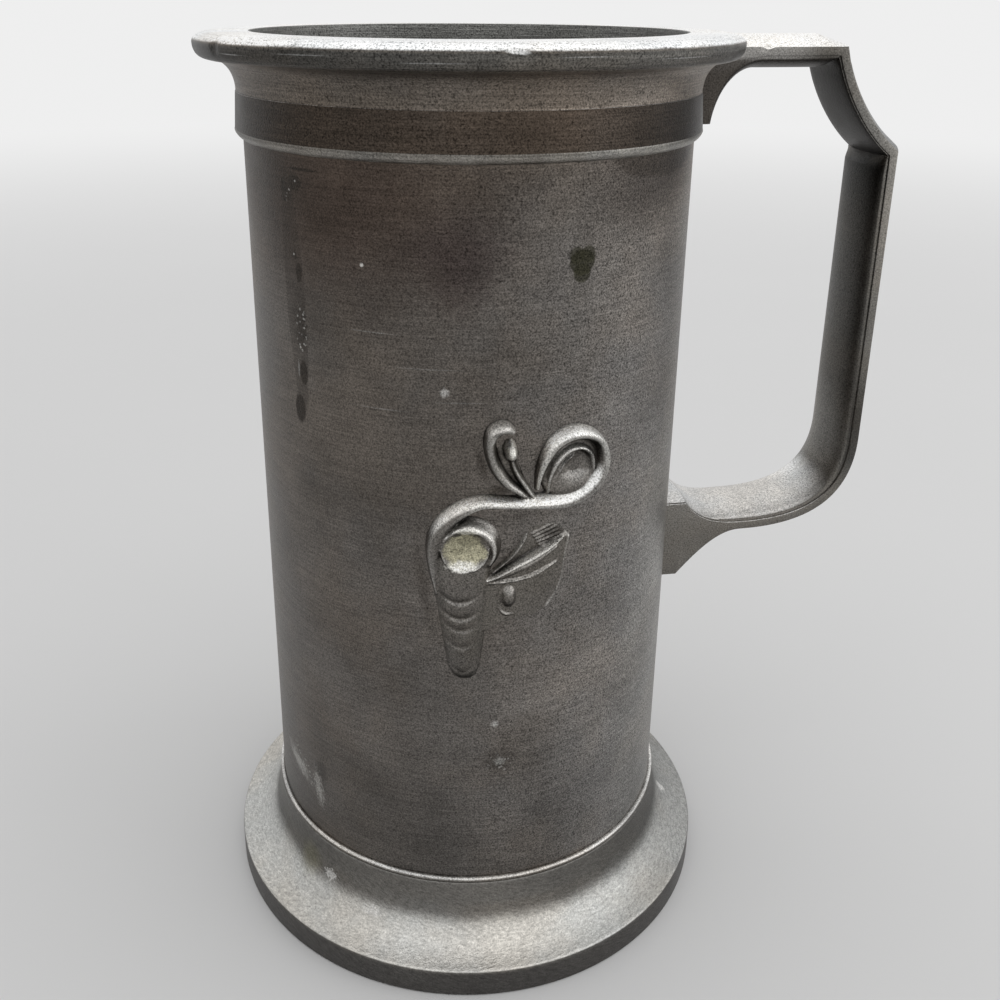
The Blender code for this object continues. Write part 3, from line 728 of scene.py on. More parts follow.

# %% [markdown]
# ## The drum
# The drum is a plain tube. Its skin is the largest surface of the cup and carries most of the marks:
# brown stain with painted shade below the collar, greyer towards the foot with painted shade there,
# and painted light that makes it lighter round to the right. Those broad changes are two colour ramps
# over its height and its round, and the single marks are spots.

# %% The drum's broad tones
# Painted shade by height, darker by the foot and under the collar, where brown stain is added too; painted
# light round the cup, lighter to the right.
DRUM_STAIN_AND_SHADE_BY_HEIGHT = [(20.0, 0.90), (34.0, 1.02), (60.0, 1.13), (90.0, 1.08), (115.0, 0.96)]
DRUM_STAIN_AND_SHADE_BY_HEIGHT += [(140.0, grey(0.90, 0.01)), (160.0, grey(0.88, 0.03))]
DRUM_STAIN_AND_SHADE_BY_HEIGHT += [(168.0, grey(0.88, 0.05)), (175.0, grey(0.92, 0.08))]
DRUM_LIGHT_BY_ROUND = [(-143.0, 1.15), (-72.0, 1.02), (-42.0, grey(0.92, 0.02)), (-22.0, grey(0.88, 0.02))]
DRUM_LIGHT_BY_ROUND += [(-4.0, 1.0), (14.0, grey(1.26, -0.02)), (30.0, grey(1.58, -0.03))]
DRUM_LIGHT_BY_ROUND += [(44.0, grey(1.8, -0.03)), (80.0, 1.25), (143.0, 1.15)]
DRUM_GRAIN = [(-143.0, 0.6), (-45.0, 0.4), (-15.0, 0.55), (25.0, 0.8), (143.0, 0.7)]


def dress_drum(tree, place, colour):
    """Brown stain and painted shade under the collar, painted shade by the foot, painted light to the
    right.
    """
    colour = toned(tree, colour, place["Up"], DRUM_STAIN_AND_SHADE_BY_HEIGHT)
    return toned(tree, colour, place["Across"], DRUM_LIGHT_BY_ROUND)


print("drum tones ready")

# %% Veils, stains, painted shade and a painted highlight on the drum
SKIN_GREY = (0.140, 0.129, 0.119)
SKIN_DARK = (0.045, 0.040, 0.036)
SKIN_BRIGHT = (0.42, 0.41, 0.39)
PALE_SKIN_AND_SHEEN = (0.27, 0.265, 0.25)
STAIN_OLIVE = (0.034, 0.033, 0.021)
BROWN_STAIN_AND_SHADE = (0.034, 0.028, 0.023)
BROWN_VEIL = (0.056, 0.041, 0.033)
PURPLE_VEIL = (0.044, 0.033, 0.032)
GREY_VEIL = (0.070, 0.062, 0.056)
SCUFF_AND_GLINT = (0.26, 0.255, 0.245)
CRUMB = (0.36, 0.35, 0.33)
FLECK = (0.48, 0.47, 0.45)
drum_marks = [
    spot(-34.0, 166.0, 50.0, 30.0, BROWN_VEIL, 0.85, softness=0.9, ragged=0.3),
    spot(-9.0, 158.0, 14.0, 11.0, PURPLE_VEIL, 0.55, softness=0.9),
    spot(-8.5, 152.0, 9.0, 9.0, PURPLE_VEIL, 0.4, softness=0.9, ragged=1.2),
    spot(36.0, 172.0, 26.0, 12.0, BROWN_VEIL, 0.75, softness=0.9),
    spot(27.0, 167.0, 21.0, 14.0, GREY_VEIL, 0.85, softness=0.9),
    # Darker brown under the collar at the back and in a band at the right: brown stain with painted shade.
    spot(-60.0, 173.0, 32.0, 22.0, BROWN_STAIN_AND_SHADE, 0.75, softness=0.9),
    spot(34.0, 172.5, 15.5, 4.3, BROWN_STAIN_AND_SHADE, 0.6, softness=0.2, ragged=0.25),
    # A tall pale band round to the right is a painted highlight.
    spot(44.0, 55.0, 18.0, 75.0, PALE_SKIN_AND_SHEEN, 0.42, softness=0.4, ragged=0.3),
]
drum_marks += [
    spot(12.6, 156.6, 1.7, 1.9, STAIN_OLIVE, 0.75, softness=0.3, ragged=0.3),
    spot(14.9, 156.6, 1.8, 1.9, STAIN_OLIVE, 0.75, softness=0.3, ragged=0.3),
    spot(13.7, 155.3, 2.7, 2.6, STAIN_OLIVE, 0.8, softness=0.15, ragged=0.3),
    spot(13.7, 153.4, 1.9, 2.0, STAIN_OLIVE, 0.8, softness=0.2, ragged=0.3),
    spot(13.7, 161.0, 3.6, 4.0, BROWN_STAIN_AND_SHADE, 0.2, softness=0.9),
]
print(len(drum_marks), "veils and stains")

# %% The drip on the left
drum_marks += [
    spot(-43.0, 147.0, 3.0, 25.0, BROWN_STAIN_AND_SHADE, 0.38, lean=-0.046, softness=0.15, ragged=0.25),
    spot(-41.6, 167.8, 2.2, 1.7, BROWN_STAIN_AND_SHADE, 0.85, softness=0.3, ragged=0.8),
    spot(-44.8, 166.1, 1.3, 2.4, BROWN_STAIN_AND_SHADE, 0.8, softness=0.3, ragged=0.8),
    spot(-39.3, 170.3, 5.0, 0.34, BROWN_STAIN_AND_SHADE, 0.9, softness=0.4, ragged=0.4),
    spot(-41.5, 151.4, 1.0, 2.1, BROWN_STAIN_AND_SHADE, 0.9, softness=0.25, ragged=0.3),
    spot(-41.5, 131.9, 1.3, 2.8, BROWN_STAIN_AND_SHADE, 0.9, softness=0.25, ragged=0.3),
    spot(-43.1, 124.3, 1.8, 3.3, BROWN_STAIN_AND_SHADE, 0.95, softness=0.25, ragged=0.3),
    # A thin pale line beside the drip is a painted highlight.
    spot(-43.0, 132.4, 0.35, 2.2, SCUFF_AND_GLINT, 0.6, softness=0.6),
]
DRIP_CRUMBS = [
    (-41.6, 140.3, 1.7, 5.4),
    (-42.6, 154.6, 0.6, 1.1),
    (-41.4, 168.2, 0.7, 1.0),
    (-43.6, 165.5, 1.0, 1.5),
]
for across, up, wide, tall in DRIP_CRUMBS:
    drum_marks.append(spot(across, up, wide + 0.5, tall, BROWN_STAIN_AND_SHADE, 0.55, ragged=2.0, fray=1.6))
    drum_marks.append(spot(across, up, wide, tall, CRUMB, 0.8, softness=0.3, crumbs=True))
print(len(drum_marks), "marks with the drip")

# %% Flecks, scuffs, crumbs and painted shade round the relief
drum_marks += [
    spot(across, up, size, size, FLECK, 0.85, softness=0.7, ragged=1.2, fray=1.4)
    for across, up, size in ((-11.3, 132.3, 1.1), (-26.5, 154.8, 0.5), (-1.4, 60.9, 1.0))
]
drum_marks += [
    spot(across, up, length, 0.16, SCUFF_AND_GLINT, 0.42, softness=0.7, ragged=0.8)
    for across, up, length in (
        (-23.3, 128.2, 7.0),
        (-24.7, 142.7, 6.0),
        (-14.0, 136.6, 8.0),
        (-9.0, 130.4, 6.0),
    )
]
drum_marks += [
    spot(-0.3, 52.1, 4.6, 4.2, SKIN_DARK, 0.5, softness=0.7),
    spot(-0.4, 51.2, 3.6, 3.0, CRUMB, 0.7, softness=0.6, crumbs=True),
    spot(-0.4, 51.6, 1.5, 1.2, PALE_SKIN_AND_SHEEN, 0.9, softness=0.8, ragged=1.4, fray=1.4),
    spot(-42.6, 38.5, 2.6, 5.0, SKIN_DARK, 0.5, softness=0.8),
    spot(-52.5, 35.4, 5.0, 3.6, CRUMB, 0.95, lean=-1.2, softness=0.8, ragged=2.4, fray=1.8, streak=0.5),
    spot(-43.9, 33.5, 2.0, 5.6, CRUMB, 0.95, lean=-0.14, softness=0.8, ragged=2.6, fray=2.2, streak=0.6),
    spot(-48.0, 35.2, 4.2, 7.0, CRUMB, 0.8, lean=-1.0, softness=0.6, crumbs=True),
]
# Soft brown spots round the relief: painted shadow cast by the relief, with grime.
drum_marks += [
    spot(across, up, wide, tall, BROWN_STAIN_AND_SHADE, strength, lean=lean, softness=0.9)
    for across, up, wide, tall, strength, lean in (
        (-1.2, 113.2, 3.2, 1.6, 0.7, 0.0),
        (-4.6, 118.5, 1.4, 5.0, 0.55, -0.25),
        (-15.6, 92.0, 1.9, 13.0, 0.4, -0.13),
        (3.5, 107.4, 7.5, 1.5, 0.35, 0.0),
    )
]
print(len(drum_marks), "marks in front")

# %% Seeded marks behind
SEED = 5
BEHIND = (62.0, 140.0)
MARK_SIZES = (0.6, 4.5)
MARK_HEIGHTS = (34.0, 166.0)
MARK_LEANS = (-0.8, 0.8)
MARK_STREAKS = (0.2, 1.0)
chance = np.random.default_rng(SEED)
for tone in (SCUFF_AND_GLINT, BROWN_STAIN_AND_SHADE) * 3:
    across = chance.uniform(*BEHIND) * chance.choice((-1.0, 1.0))
    wide, tall = chance.uniform(*MARK_SIZES, 2)
    up = chance.uniform(*MARK_HEIGHTS)
    lean = chance.uniform(*MARK_LEANS)
    streak = chance.uniform(*MARK_STREAKS)
    drum_marks.append(
        spot(across, up, wide, tall, tone, 0.45, lean=lean, ragged=3.0, fray=1.6, streak=streak)
    )
print(len(drum_marks), "marks on the drum")

# %% Turn the drum
DRUM_STEP = 3.0 * MM
drum_tones = (SKIN_BRIGHT, SKIN_GREY, SKIN_DARK)
drum_metal = pewter(
    "drum_pewter", drum_tones, cloud=0.65, grain=DRUM_GRAIN, dress=dress_drum, marks=drum_marks
)
drum_outline = [
    (DRUM_RADIUS, drum_high.z),
    (DRUM_RADIUS, drum_low.z),
    (DRUM_BORE, drum_low.z),
    (DRUM_BORE, drum_high.z),
]
drum = turned("drum_wall", divided(drum_outline, DRUM_STEP), drum_metal)

# %% The drum's inside
inside_tones = ((0.48, 0.47, 0.455), (0.38, 0.37, 0.36), (0.25, 0.24, 0.23))
inside_metal = pewter("inside_pewter", inside_tones, cloud=0.9, rough=0.6)
drum.data.materials.append(inside_metal)
for face in drum.data.polygons:
    if (face.center - AXIS).to_2d().length < DRUM_BORE + GAP:
        face.material_index = 1
print("the drum's inside has a metal of its own")

# %% [markdown]
# ## Lip ring
# The lip ring is one casting: a flat lip, a cove below it and a plain collar, rebated over the drum's
# top. The cove is a curve between two straight stretches, and all edges are softened a little, as a
# turner breaks them. The lip's top is painted bright as if lit from above, and its edge is painted
# dark as a dark reflection and carries scratches.

# %% Lip ring
LIP_THICKNESS = 4.75 * MM
LIP_UNDERCUT = 2.3 * MM
LIP_TOP_ROUND = 3.8 * MM
LIP_EDGE_DROP = 1.9 * MM
COVE_HEIGHT = 6.2 * MM
COLLAR_TOP_STEP = 0.9 * MM
COLLAR_FOOT_STEP = 1.5 * MM
COLLAR_LEDGE = 0.12 * MM
COLLAR_REBATE = drum_high.z + GAP


def ring_side():
    """The ring's outer side, from the lip's flat top to the collar's foot."""
    under = CUP_TOP - LIP_THICKNESS
    widest = CUP_TOP - LIP_EDGE_DROP
    root = LIP_RADIUS - LIP_UNDERCUT
    neck = DRUM_RADIUS + COLLAR_TOP_STEP
    top = eased((LIP_RADIUS - LIP_TOP_ROUND, CUP_TOP), (LIP_RADIUS, CUP_TOP), (LIP_RADIUS, widest), 14)
    edge = eased((LIP_RADIUS, widest), (LIP_RADIUS, under), (root, under), 10)
    cove = eased((root, under), (neck, under), (neck, under - COVE_HEIGHT), 20)
    ledge = (neck + COLLAR_LEDGE, under - COVE_HEIGHT - COLLAR_LEDGE)
    return top + edge[1:] + cove[1:] + [ledge, (DRUM_RADIUS + COLLAR_FOOT_STEP, COLLAR_FOOT)]


ring_outline = ring_side() + [
    (DRUM_RADIUS + GAP, COLLAR_FOOT),
    (DRUM_RADIUS + GAP, COLLAR_REBATE),
    (DRUM_BORE, COLLAR_REBATE),
    (DRUM_BORE, CUP_TOP),
]
print("ring profile:", len(ring_outline), "points")

# %% Tones of the lip ring
# Over its height: the collar darkened brown, brown skin with painted shade under the cove; a thin painted
# highlight just under the lip; the lip's edge painted dark blue-grey as a reflection.
RING_BY_HEIGHT = [
    (174.0, (0.36, 0.33, 0.31)),
    (181.6, (0.36, 0.33, 0.31)),
    (181.9, (0.92, 0.91, 0.90)),
    (186.0, 1.0),
    (187.9, 1.2),
    (188.4, (0.48, 0.51, 0.53)),
    (190.9, (0.42, 0.46, 0.49)),
    (191.5, 1.0),
]
# Round the cup: painted light and shade on lip, cove and collar.
COVE_BY_ROUND = [(-143.0, 0.9), (-60.0, 0.75), (-25.0, 0.9), (10.0, 1.15), (45.0, 1.6), (143.0, 1.0)]
LIP_BY_ROUND = [(-143.0, 1.0), (-75.0, 0.35), (-50.0, 0.5), (-30.0, 1.0), (-8.0, 1.7), (14.0, 1.95)]
LIP_BY_ROUND += [(24.0, 1.9), (36.0, 1.6), (50.0, 1.3), (75.0, 1.0), (143.0, 1.0)]
COLLAR_BY_ROUND = [(-143.0, 0.9), (-75.0, 0.4), (-50.0, 0.55), (-30.0, 0.95), (-8.0, 1.45), (14.0, 1.5)]
COLLAR_BY_ROUND += [(24.0, 0.8), (36.0, 0.55), (50.0, 0.48), (75.0, 0.45), (143.0, 0.9)]
COLLAR_TOP = 181.8
COVE_MIDDLE = 185.0
COVE_REACH = 3.1
LIP_FADE = (191.4, 190.4)
RING_INSIDE = (0.185, 0.185, 0.176, 1.0)
LIP_FLECK = (0.36, 0.36, 0.355)
NICK_BRIGHT = (0.75, 0.75, 0.74)


def dress_ring(tree, place, colour):
    """A dark brown collar, a paler cove, a dark blue-grey lip edge and a grey inside."""
    outside = toned(tree, colour, place["Up"], RING_BY_HEIGHT)
    by_round = (LIP_BY_ROUND, COVE_BY_ROUND, COLLAR_BY_ROUND)
    lip, cove, collar = [tone_ramp(tree, place["Across"], levels) for levels in by_round]
    in_cove = maths(tree, "COMPARE", place["Up"], COVE_MIDDLE, COVE_REACH)
    on_collar = maths(tree, "LESS_THAN", place["Up"], COLLAR_TOP)
    shade = mixed(tree, on_collar, mixed(tree, in_cove, lip, cove), collar)
    shaded = mixed(tree, 1.0, outside, shade, "MULTIPLY")
    outside = mixed(tree, ranged(tree, place["Up"], *LIP_FADE), outside, shaded)
    inside = maths(tree, "LESS_THAN", place["Out"], (DRUM_BORE + GAP) / MM)
    return mixed(tree, inside, outside, RING_INSIDE)


print("ring tones ready")

# %% Turn the lip ring and dent it
def dented(piece, place, reach, push):
    """Knock a soft dent into a piece: points within reach of a place are pushed, most in its middle."""
    for point in piece.data.vertices:
        share = (point.co - place).length / reach
        if share < 1.0:
            point.co += push * (1.0 - share * share) ** 2


DENT_RISE = Vector((0.0, 0.0, 0.6))


def dent_lip(across, reach, depth):
    """A dent in the lip's edge, this far round from the front in millimetres along the drum's wall."""
    turn = across * MM / DRUM_RADIUS
    out = Vector((math.sin(turn), -math.cos(turn), 0.0))
    place = AXIS + out * LIP_RADIUS
    place.z = CUP_TOP - LIP_EDGE_DROP
    dented(ring, place, reach, (out + DENT_RISE) * -depth)


ring_marks = [spot(-0.9, 191.35, 1.9, 0.6, NICK_BRIGHT, 0.8, lean=-1.5, softness=0.4, ragged=0.6)]
ring_marks += [
    spot(across, up, length, 0.14, LIP_FLECK, 0.5, softness=0.7, ragged=0.8)
    for across, up, length in (
        (-46.0, 189.7, 4.0),
        (-31.0, 190.3, 6.0),
        (-12.0, 189.5, 7.0),
        (9.0, 190.4, 6.0),
        (27.0, 189.8, 8.0),
        (70.0, 190.0, 7.0),
        (-95.0, 189.6, 8.0),
        (120.0, 190.2, 6.0),
    )
]
LIP_ROUND = 0.2 * MM
FINE_TURN = 512
NICK = (-0.9, 2.6 * MM, 0.5 * MM)
DENTS_AT = (-118.0, -84.0, -51.0, -33.0, 22.0, 41.0, 58.0, 97.0, 131.0)
DENT_REACH = (1.6, 3.2)
DENT_DEPTH = (0.15, 0.4)
ring_tones = ((0.91, 0.91, 0.90), (0.150, 0.131, 0.113), (0.150, 0.131, 0.113))
ring_metal = pewter(
    "ring_pewter", ring_tones, top_edge=0.7, grain=0.6, pits=0.3, lines=0.7,
    dress=dress_ring, marks=ring_marks
)
ring = turned("lip_ring", softened(ring_outline, LIP_ROUND), ring_metal, around=FINE_TURN)
dent_lip(*NICK)
for across in DENTS_AT:
    dent_lip(across, chance.uniform(*DENT_REACH) * MM, chance.uniform(*DENT_DEPTH) * MM)

# %% [markdown]
# ## Foot and solder
# The foot flares out of the drum in one sweep to a thick rim, and is hollow below. Bright solder runs
# round the joint of drum and foot, and a narrow fillet sits under the collar.

# %% Foot profile
FOOT_EDGE = 6.5 * MM
FOOT_SLOPE = 2.3 * MM
FOOT_TOP_WALL = 0.7 * MM
FOOT_STAND = 4.0 * MM
FOOT_HOLLOW = 4.2 * MM
FOOT_HOLLOW_DRAFT = 1.3 * MM
FOOT_LEDGE = 2.2 * MM
FOOT_BEAD = 0.6 * MM
SEAM_TOE = 0.3 * MM

foot_bore = DRUM_RADIUS + GAP
foot_neck = foot_bore + FOOT_TOP_WALL
foot_seat = drum_low.z - GAP
foot_shoulder = (foot_neck, FOOT_EDGE + FOOT_SLOPE)
foot_outline = eased((foot_neck, FOOT_TOP), foot_shoulder, (FOOT_RADIUS, FOOT_EDGE), 28, 0.75, 0.75)
foot_outline += [
    (FOOT_RADIUS, 0.0),
    (FOOT_RADIUS - FOOT_STAND, 0.0),
    (FOOT_RADIUS - FOOT_STAND - FOOT_HOLLOW_DRAFT, FOOT_HOLLOW),
    (foot_bore, foot_seat - FOOT_LEDGE),
    (DRUM_BORE + GAP, foot_seat - FOOT_LEDGE),
    (DRUM_BORE + GAP, foot_seat),
    (foot_bore, foot_seat),
    (foot_bore, FOOT_TOP),
]
print("foot profile:", len(foot_outline), "points")

# %% Foot metal
FOOT_TINT = (0.20, 0.19, 0.13)
FOOT_SCUFF = (0.75, 0.74, 0.72)
# The foot's upright rim is painted dark as a dark reflection.
FOOT_RIM = (0.100, 0.095, 0.090, 1.0)
FOOT_NECK_FADE = (14.5, 16.5)
FOOT_RIM_FADE = (6.6, 5.4)
FOOT_ROUND = 0.5 * MM
foot_marks = [
    spot(-45.8, 14.0, 5.0, 5.0, FOOT_TINT, 0.55, softness=0.8),
    spot(61.8, 10.0, 1.4, 1.6, FOOT_SCUFF, 0.7, softness=0.5, ragged=1.5),
    spot(-38.9, 13.5, 2.0, 1.2, FOOT_SCUFF, 0.7, softness=0.5, ragged=3.0, fray=1.8),
    spot(-27.0, 11.0, 2.4, 1.0, FOOT_SCUFF, 0.4, softness=0.5, ragged=3.0, fray=1.8),
]
foot_tones = ((0.46, 0.455, 0.435), (0.150, 0.144, 0.134), SKIN_DARK)
# Painted light round the cup: lighter in front, darker to the right.
FOOT_BY_ROUND = [(-143.0, 1.0), (-70.0, 1.1), (-45.0, 1.0), (-22.0, 1.25), (0.0, 1.45), (18.0, 1.1)]
FOOT_BY_ROUND += [(32.0, 0.85), (55.0, 0.75), (80.0, 0.6), (143.0, 1.0)]


def dress_foot(tree, place, colour):
    """The narrow top by the solder takes the steep part's tone as painted shade; painted light in front."""
    neck = ranged(tree, place["Up"], *FOOT_NECK_FADE)
    colour = mixed(tree, neck, colour, (*foot_tones[1], 1.0))
    colour = toned(tree, colour, place["Across"], FOOT_BY_ROUND)
    return mixed(tree, ranged(tree, place["Up"], *FOOT_RIM_FADE), colour, FOOT_RIM)


foot_metal = pewter(
    "foot_pewter", foot_tones, top_edge=0.62, cloud=0.3, grain=0.24, pits=0.05, lines=0.7,
    fineness=2.0, lean=0.35, dress=dress_foot, marks=foot_marks
)
foot = turned("foot_ring", softened(foot_outline, FOOT_ROUND), foot_metal, around=FINE_TURN)

# %% Solder seams
SEAM_BULGE = 0.35 * MM
BEAD_UNEVENNESS = 0.25 * MM
BEAD_LIFT = 0.8
solder_tones = ((0.62, 0.605, 0.58), (0.215, 0.20, 0.183), (0.075, 0.068, 0.06))
solder_metal = pewter("solder", solder_tones, top_edge=0.6, cloud=0.9, grain=0.5)
bead_lift = BEAD_LIFT * FOOT_BEAD
bead_middle = (DRUM_RADIUS + bead_lift, FOOT_TOP + bead_lift)
bead_outline = [
    (bead_middle[0] + FOOT_BEAD * math.cos(turn), bead_middle[1] - FOOT_BEAD * math.sin(turn))
    for turn in np.linspace(0.0, 2 * math.pi, 14, endpoint=False)
]
bead = turned("foot_bead_solder", bead_outline, solder_metal, unevenness=BEAD_UNEVENNESS)
STRIP_BY_ROUND = [(-60.0, 0.55), (-30.0, 0.75), (-5.0, 1.0), (20.0, 1.15), (60.0, 0.8), (143.0, 0.8)]


def dress_strip(tree, place, colour):
    """The strip is brightest in front: a painted highlight."""
    return toned(tree, colour, place["Across"], STRIP_BY_ROUND)


strip_tones = ((0.24, 0.23, 0.215), (0.21, 0.20, 0.183), (0.34, 0.325, 0.30))
strip_metal = pewter("collar_solder", strip_tones, cloud=0.9, grain=0.5, dress=dress_strip)
seam_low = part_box("collar_seam")[0]
seam_out = DRUM_RADIUS + COLLAR_FOOT_STEP
seam_outline = eased(
    (seam_out - GAP, COLLAR_FOOT + GAP),
    (seam_out + 2 * SEAM_BULGE, COLLAR_FOOT),
    (seam_out - 2 * SEAM_BULGE, seam_low.z + SEAM_BULGE),
    10,
)
seam_outline += [
    (DRUM_RADIUS + SEAM_TOE, seam_low.z),
    (DRUM_RADIUS - SEAM_TOE, seam_low.z),
    (DRUM_RADIUS - SEAM_TOE, COLLAR_FOOT + GAP),
]
collar_seam = turned("collar_solder", seam_outline, strip_metal)

# %% [markdown]
# ## Inside
# A disc closes the drum a little above the foot's seat, with a fillet of solder round it. Both are
# seen only from above, where the metal is paler, cloudy and dull.

# %% Floor of the cup
DISC_STEP = 4.0 * MM
FILLET_ROUND = 0.15 * MM
disc_low, disc_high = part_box("floor_disc")
fillet_low, fillet_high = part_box("floor_seam")
disc_radius = disc_high.y
disc_outline = [
    (0.0, disc_high.z),
    (disc_radius, disc_high.z),
    (disc_radius, disc_low.z),
    (0.0, disc_low.z),
]
disc = turned("inside_floor", divided(disc_outline, DISC_STEP), inside_metal, unevenness=0.0)
fillet_toe = fillet_high.y - (fillet_high.z - fillet_low.z)
fillet_outline = [
    (fillet_high.y, fillet_high.z),
    (fillet_high.y, fillet_low.z),
    (fillet_toe, fillet_low.z),
    (fillet_toe, fillet_low.z + SEAM_TOE),
    (fillet_high.y - SEAM_TOE, fillet_high.z),
]
floor_seam = turned("floor_solder", softened(fillet_outline, FILLET_ROUND), solder_metal)

# %% [markdown]
# ## Handle
# The handle is one bent strap: flat sides, a crowned back and a round belly that sits between two
# narrow ledges, with a fine crease beside each ledge. Its section changes all the way along, from the
# web under the bar to the wide end soldered to the drum, so it isn't a plain sweep. It is lofted
# instead: stations along the strap each carry a ring of points, and neighbouring rings are joined.

# %% The strap's path
GRIP_WIDTH = 18.7 * MM
BAR_WIDTH = 16.0 * MM
STRAP_THICKNESS = 1.9 * MM
CROWN = 2.3 * MM
BELLY = 2.6 * MM
BAR_Z = CUP_TOP - 3.9 * MM
BAR_CORNER = Vector((DRUM_RADIUS + 30.9 * MM, BAR_Z))
HEEL = Vector((DRUM_RADIUS + 44.0 * MM, BAR_Z - 20.6 * MM))
BEND = Vector((HEEL.x, HEEL.y - 65.0 * MM))
RUN_Z = BEND.y - 20.6 * MM
RUN_END = Vector((DRUM_RADIUS + 18.0 * MM, RUN_Z))
SHOULDER_BOW = 4.5 * MM
BRACKET_X = DRUM_RADIUS + 14.5 * MM
CORNER_ROOM = 2.4 * MM
AT_CORNER = 0.1 * MM


def stretch(start, end, count):
    """Evenly spaced points on a straight stretch, both ends left out."""
    return [start.lerp(end, step / count) for step in range(1, count)]


def strap_path():
    """The strap's middle line as (point, width), with room left beside its two sharp corners."""
    slope = HEEL - BAR_CORNER
    bow = Vector((slope.y, -slope.x)).normalized() * SHOULDER_BOW
    shoulder = eased(BAR_CORNER, BAR_CORNER.lerp(HEEL, 0.5) + bow, HEEL, 30)
    points = [Vector((BRACKET_X, BAR_Z))]
    points += stretch(points[0], BAR_CORNER, 26)
    points += shoulder
    points += stretch(HEEL, BEND, 44)
    points += eased(BEND, (HEEL.x, RUN_Z), RUN_END, 44, 0.75, 0.6)
    path = []
    for point in points:
        near = min((point - corner).length for corner in (BAR_CORNER, HEEL))
        if AT_CORNER < near < CORNER_ROOM:
            continue
        along = min(1.0, max(0.0, (BAR_Z - point.y) / (BAR_Z - HEEL.y)))
        path.append((point, BAR_WIDTH + (GRIP_WIDTH - BAR_WIDTH) * along))
    return path


print("strap path:", len(strap_path()), "stations")

# %% Stations along the handle
CORNER_CROWN = 0.7 * MM
CORNER_BELLY = 1.6 * MM
CORNER_FADE = 3.0 * MM
SHOULDER_BELLY = 0.7 * MM
BRACKET_TOE = DRUM_RADIUS + 2.9 * MM
BRACKET_LEAN = 1.45 * MM
BRACKET_BELLY = 1.8 * MM
LEDGE_X = DRUM_RADIUS + 4.2 * MM
TERMINAL_RISE = 6.6 * MM
TERMINAL_FALL = 11.7 * MM
TERMINAL_LEAN = 7.9 * MM
TERMINAL_UNDERCUT = 1.3 * MM
TERMINAL_SWELL = 0.8 * MM


def mitre(before, here, after):
    """Outward offset of a path at a point, lengthened where the path has a corner."""
    first = (here - before).normalized()
    second = (after - here).normalized()
    left = Vector((-first.y, first.x))
    right = Vector((-second.y, second.x))
    return (left + right) / (1.0 + left.dot(right))


def strap_stations():
    """Each station is its outer edge, inner edge, crown, belly and half width; flat at the corner."""
    path = strap_path()
    stations = []
    for index, (here, width) in enumerate(path):
        before = path[index - 1][0] if index else here - Vector((MM, 0.0))
        after = path[index + 1][0] if index + 1 < len(path) else here - Vector((MM, 0.0))
        out = mitre(before, here, after)
        half = out * STRAP_THICKNESS / 2
        away = min(1.0, (here - BAR_CORNER).length / CORNER_FADE)
        crown = CORNER_CROWN + (CROWN - CORNER_CROWN) * away
        on_shoulder = HEEL.y - GAP < here.y < BAR_Z - GAP
        full_belly = SHOULDER_BELLY if on_shoulder else BELLY
        belly = CORNER_BELLY + (full_belly - CORNER_BELLY) * away
        stations.append((here + half, here - half, out * crown, out * -belly, width / 2))
    return stations


print("strap:", len(strap_stations()), "stations")

# %% Stations of the bracket
def bracket_stations():
    """The upper end, from inside the lip ring out to the bar, with its web below."""
    bar_root = (BRACKET_TOE + DRUM_RADIUS) / 2
    upper = BAR_Z + STRAP_THICKNESS / 2
    lower = BAR_Z - STRAP_THICKNESS / 2
    half = BAR_WIDTH / 2
    crown = Vector((0.0, CROWN))
    web = eased((BRACKET_TOE, COLLAR_FOOT), (BRACKET_TOE + BRACKET_LEAN, lower), (BRACKET_X, lower), 30)
    root = Vector((DRUM_BORE, upper))
    stations = [(root, Vector((DRUM_BORE, COLLAR_FOOT)), crown, Vector((BRACKET_BELLY, 0.0)), half)]
    for index, point in enumerate(web[:-1]):
        along = index / (len(web) - 1)
        rise = (web[index + 1] - point).normalized()
        back = Vector((bar_root + (BRACKET_X - bar_root) * along, upper))
        belly = Vector((rise.y, -rise.x)) * (BRACKET_BELLY + (BELLY - BRACKET_BELLY) * along)
        stations.append((back, point, crown, belly, half))
    return stations


print("bracket:", len(bracket_stations()), "stations")

# %% Stations of the lower end
def terminal_stations():
    """The lower end, from the run in to the inside of the drum's wall."""
    upper = RUN_Z + STRAP_THICKNESS / 2
    lower = RUN_Z - STRAP_THICKNESS / 2
    top = RUN_Z + TERMINAL_RISE
    bottom = RUN_Z - TERMINAL_FALL
    flare = LEDGE_X + LEDGE_X - DRUM_RADIUS
    inner = eased((RUN_END.x, upper), (flare, upper), (LEDGE_X, top), 30, 0.6, 0.88)
    foot_end = (LEDGE_X - TERMINAL_UNDERCUT, bottom)
    outer = eased((RUN_END.x, lower), (LEDGE_X + TERMINAL_LEAN, lower), foot_end, 30, 0.88, 0.6)
    edges = list(zip(outer[1:], inner[1:]))
    edges.append((Vector((DRUM_BORE, bottom)), Vector((DRUM_BORE, top))))
    stations = []
    for index, (low, high) in enumerate(edges):
        fade = min(1.0, (index + 1) / (len(edges) - 1))
        out = (low - high).normalized()
        crown = out * (CROWN + (TERMINAL_SWELL - CROWN) * fade)
        belly = out * -(BELLY + (TERMINAL_SWELL - BELLY) * fade)
        stations.append((low, high, crown, belly, GRIP_WIDTH / 2))
    return stations


stations = bracket_stations() + strap_stations() + terminal_stations()
print("handle:", len(stations), "stations")

# %% Loft the strap
EDGE_ROUND = 0.28 * MM
BELLY_LEDGE = 0.6 * MM
CREASE_DEPTH = 0.3 * MM
ACROSS_STEPS = 22
BEVEL = 0.3


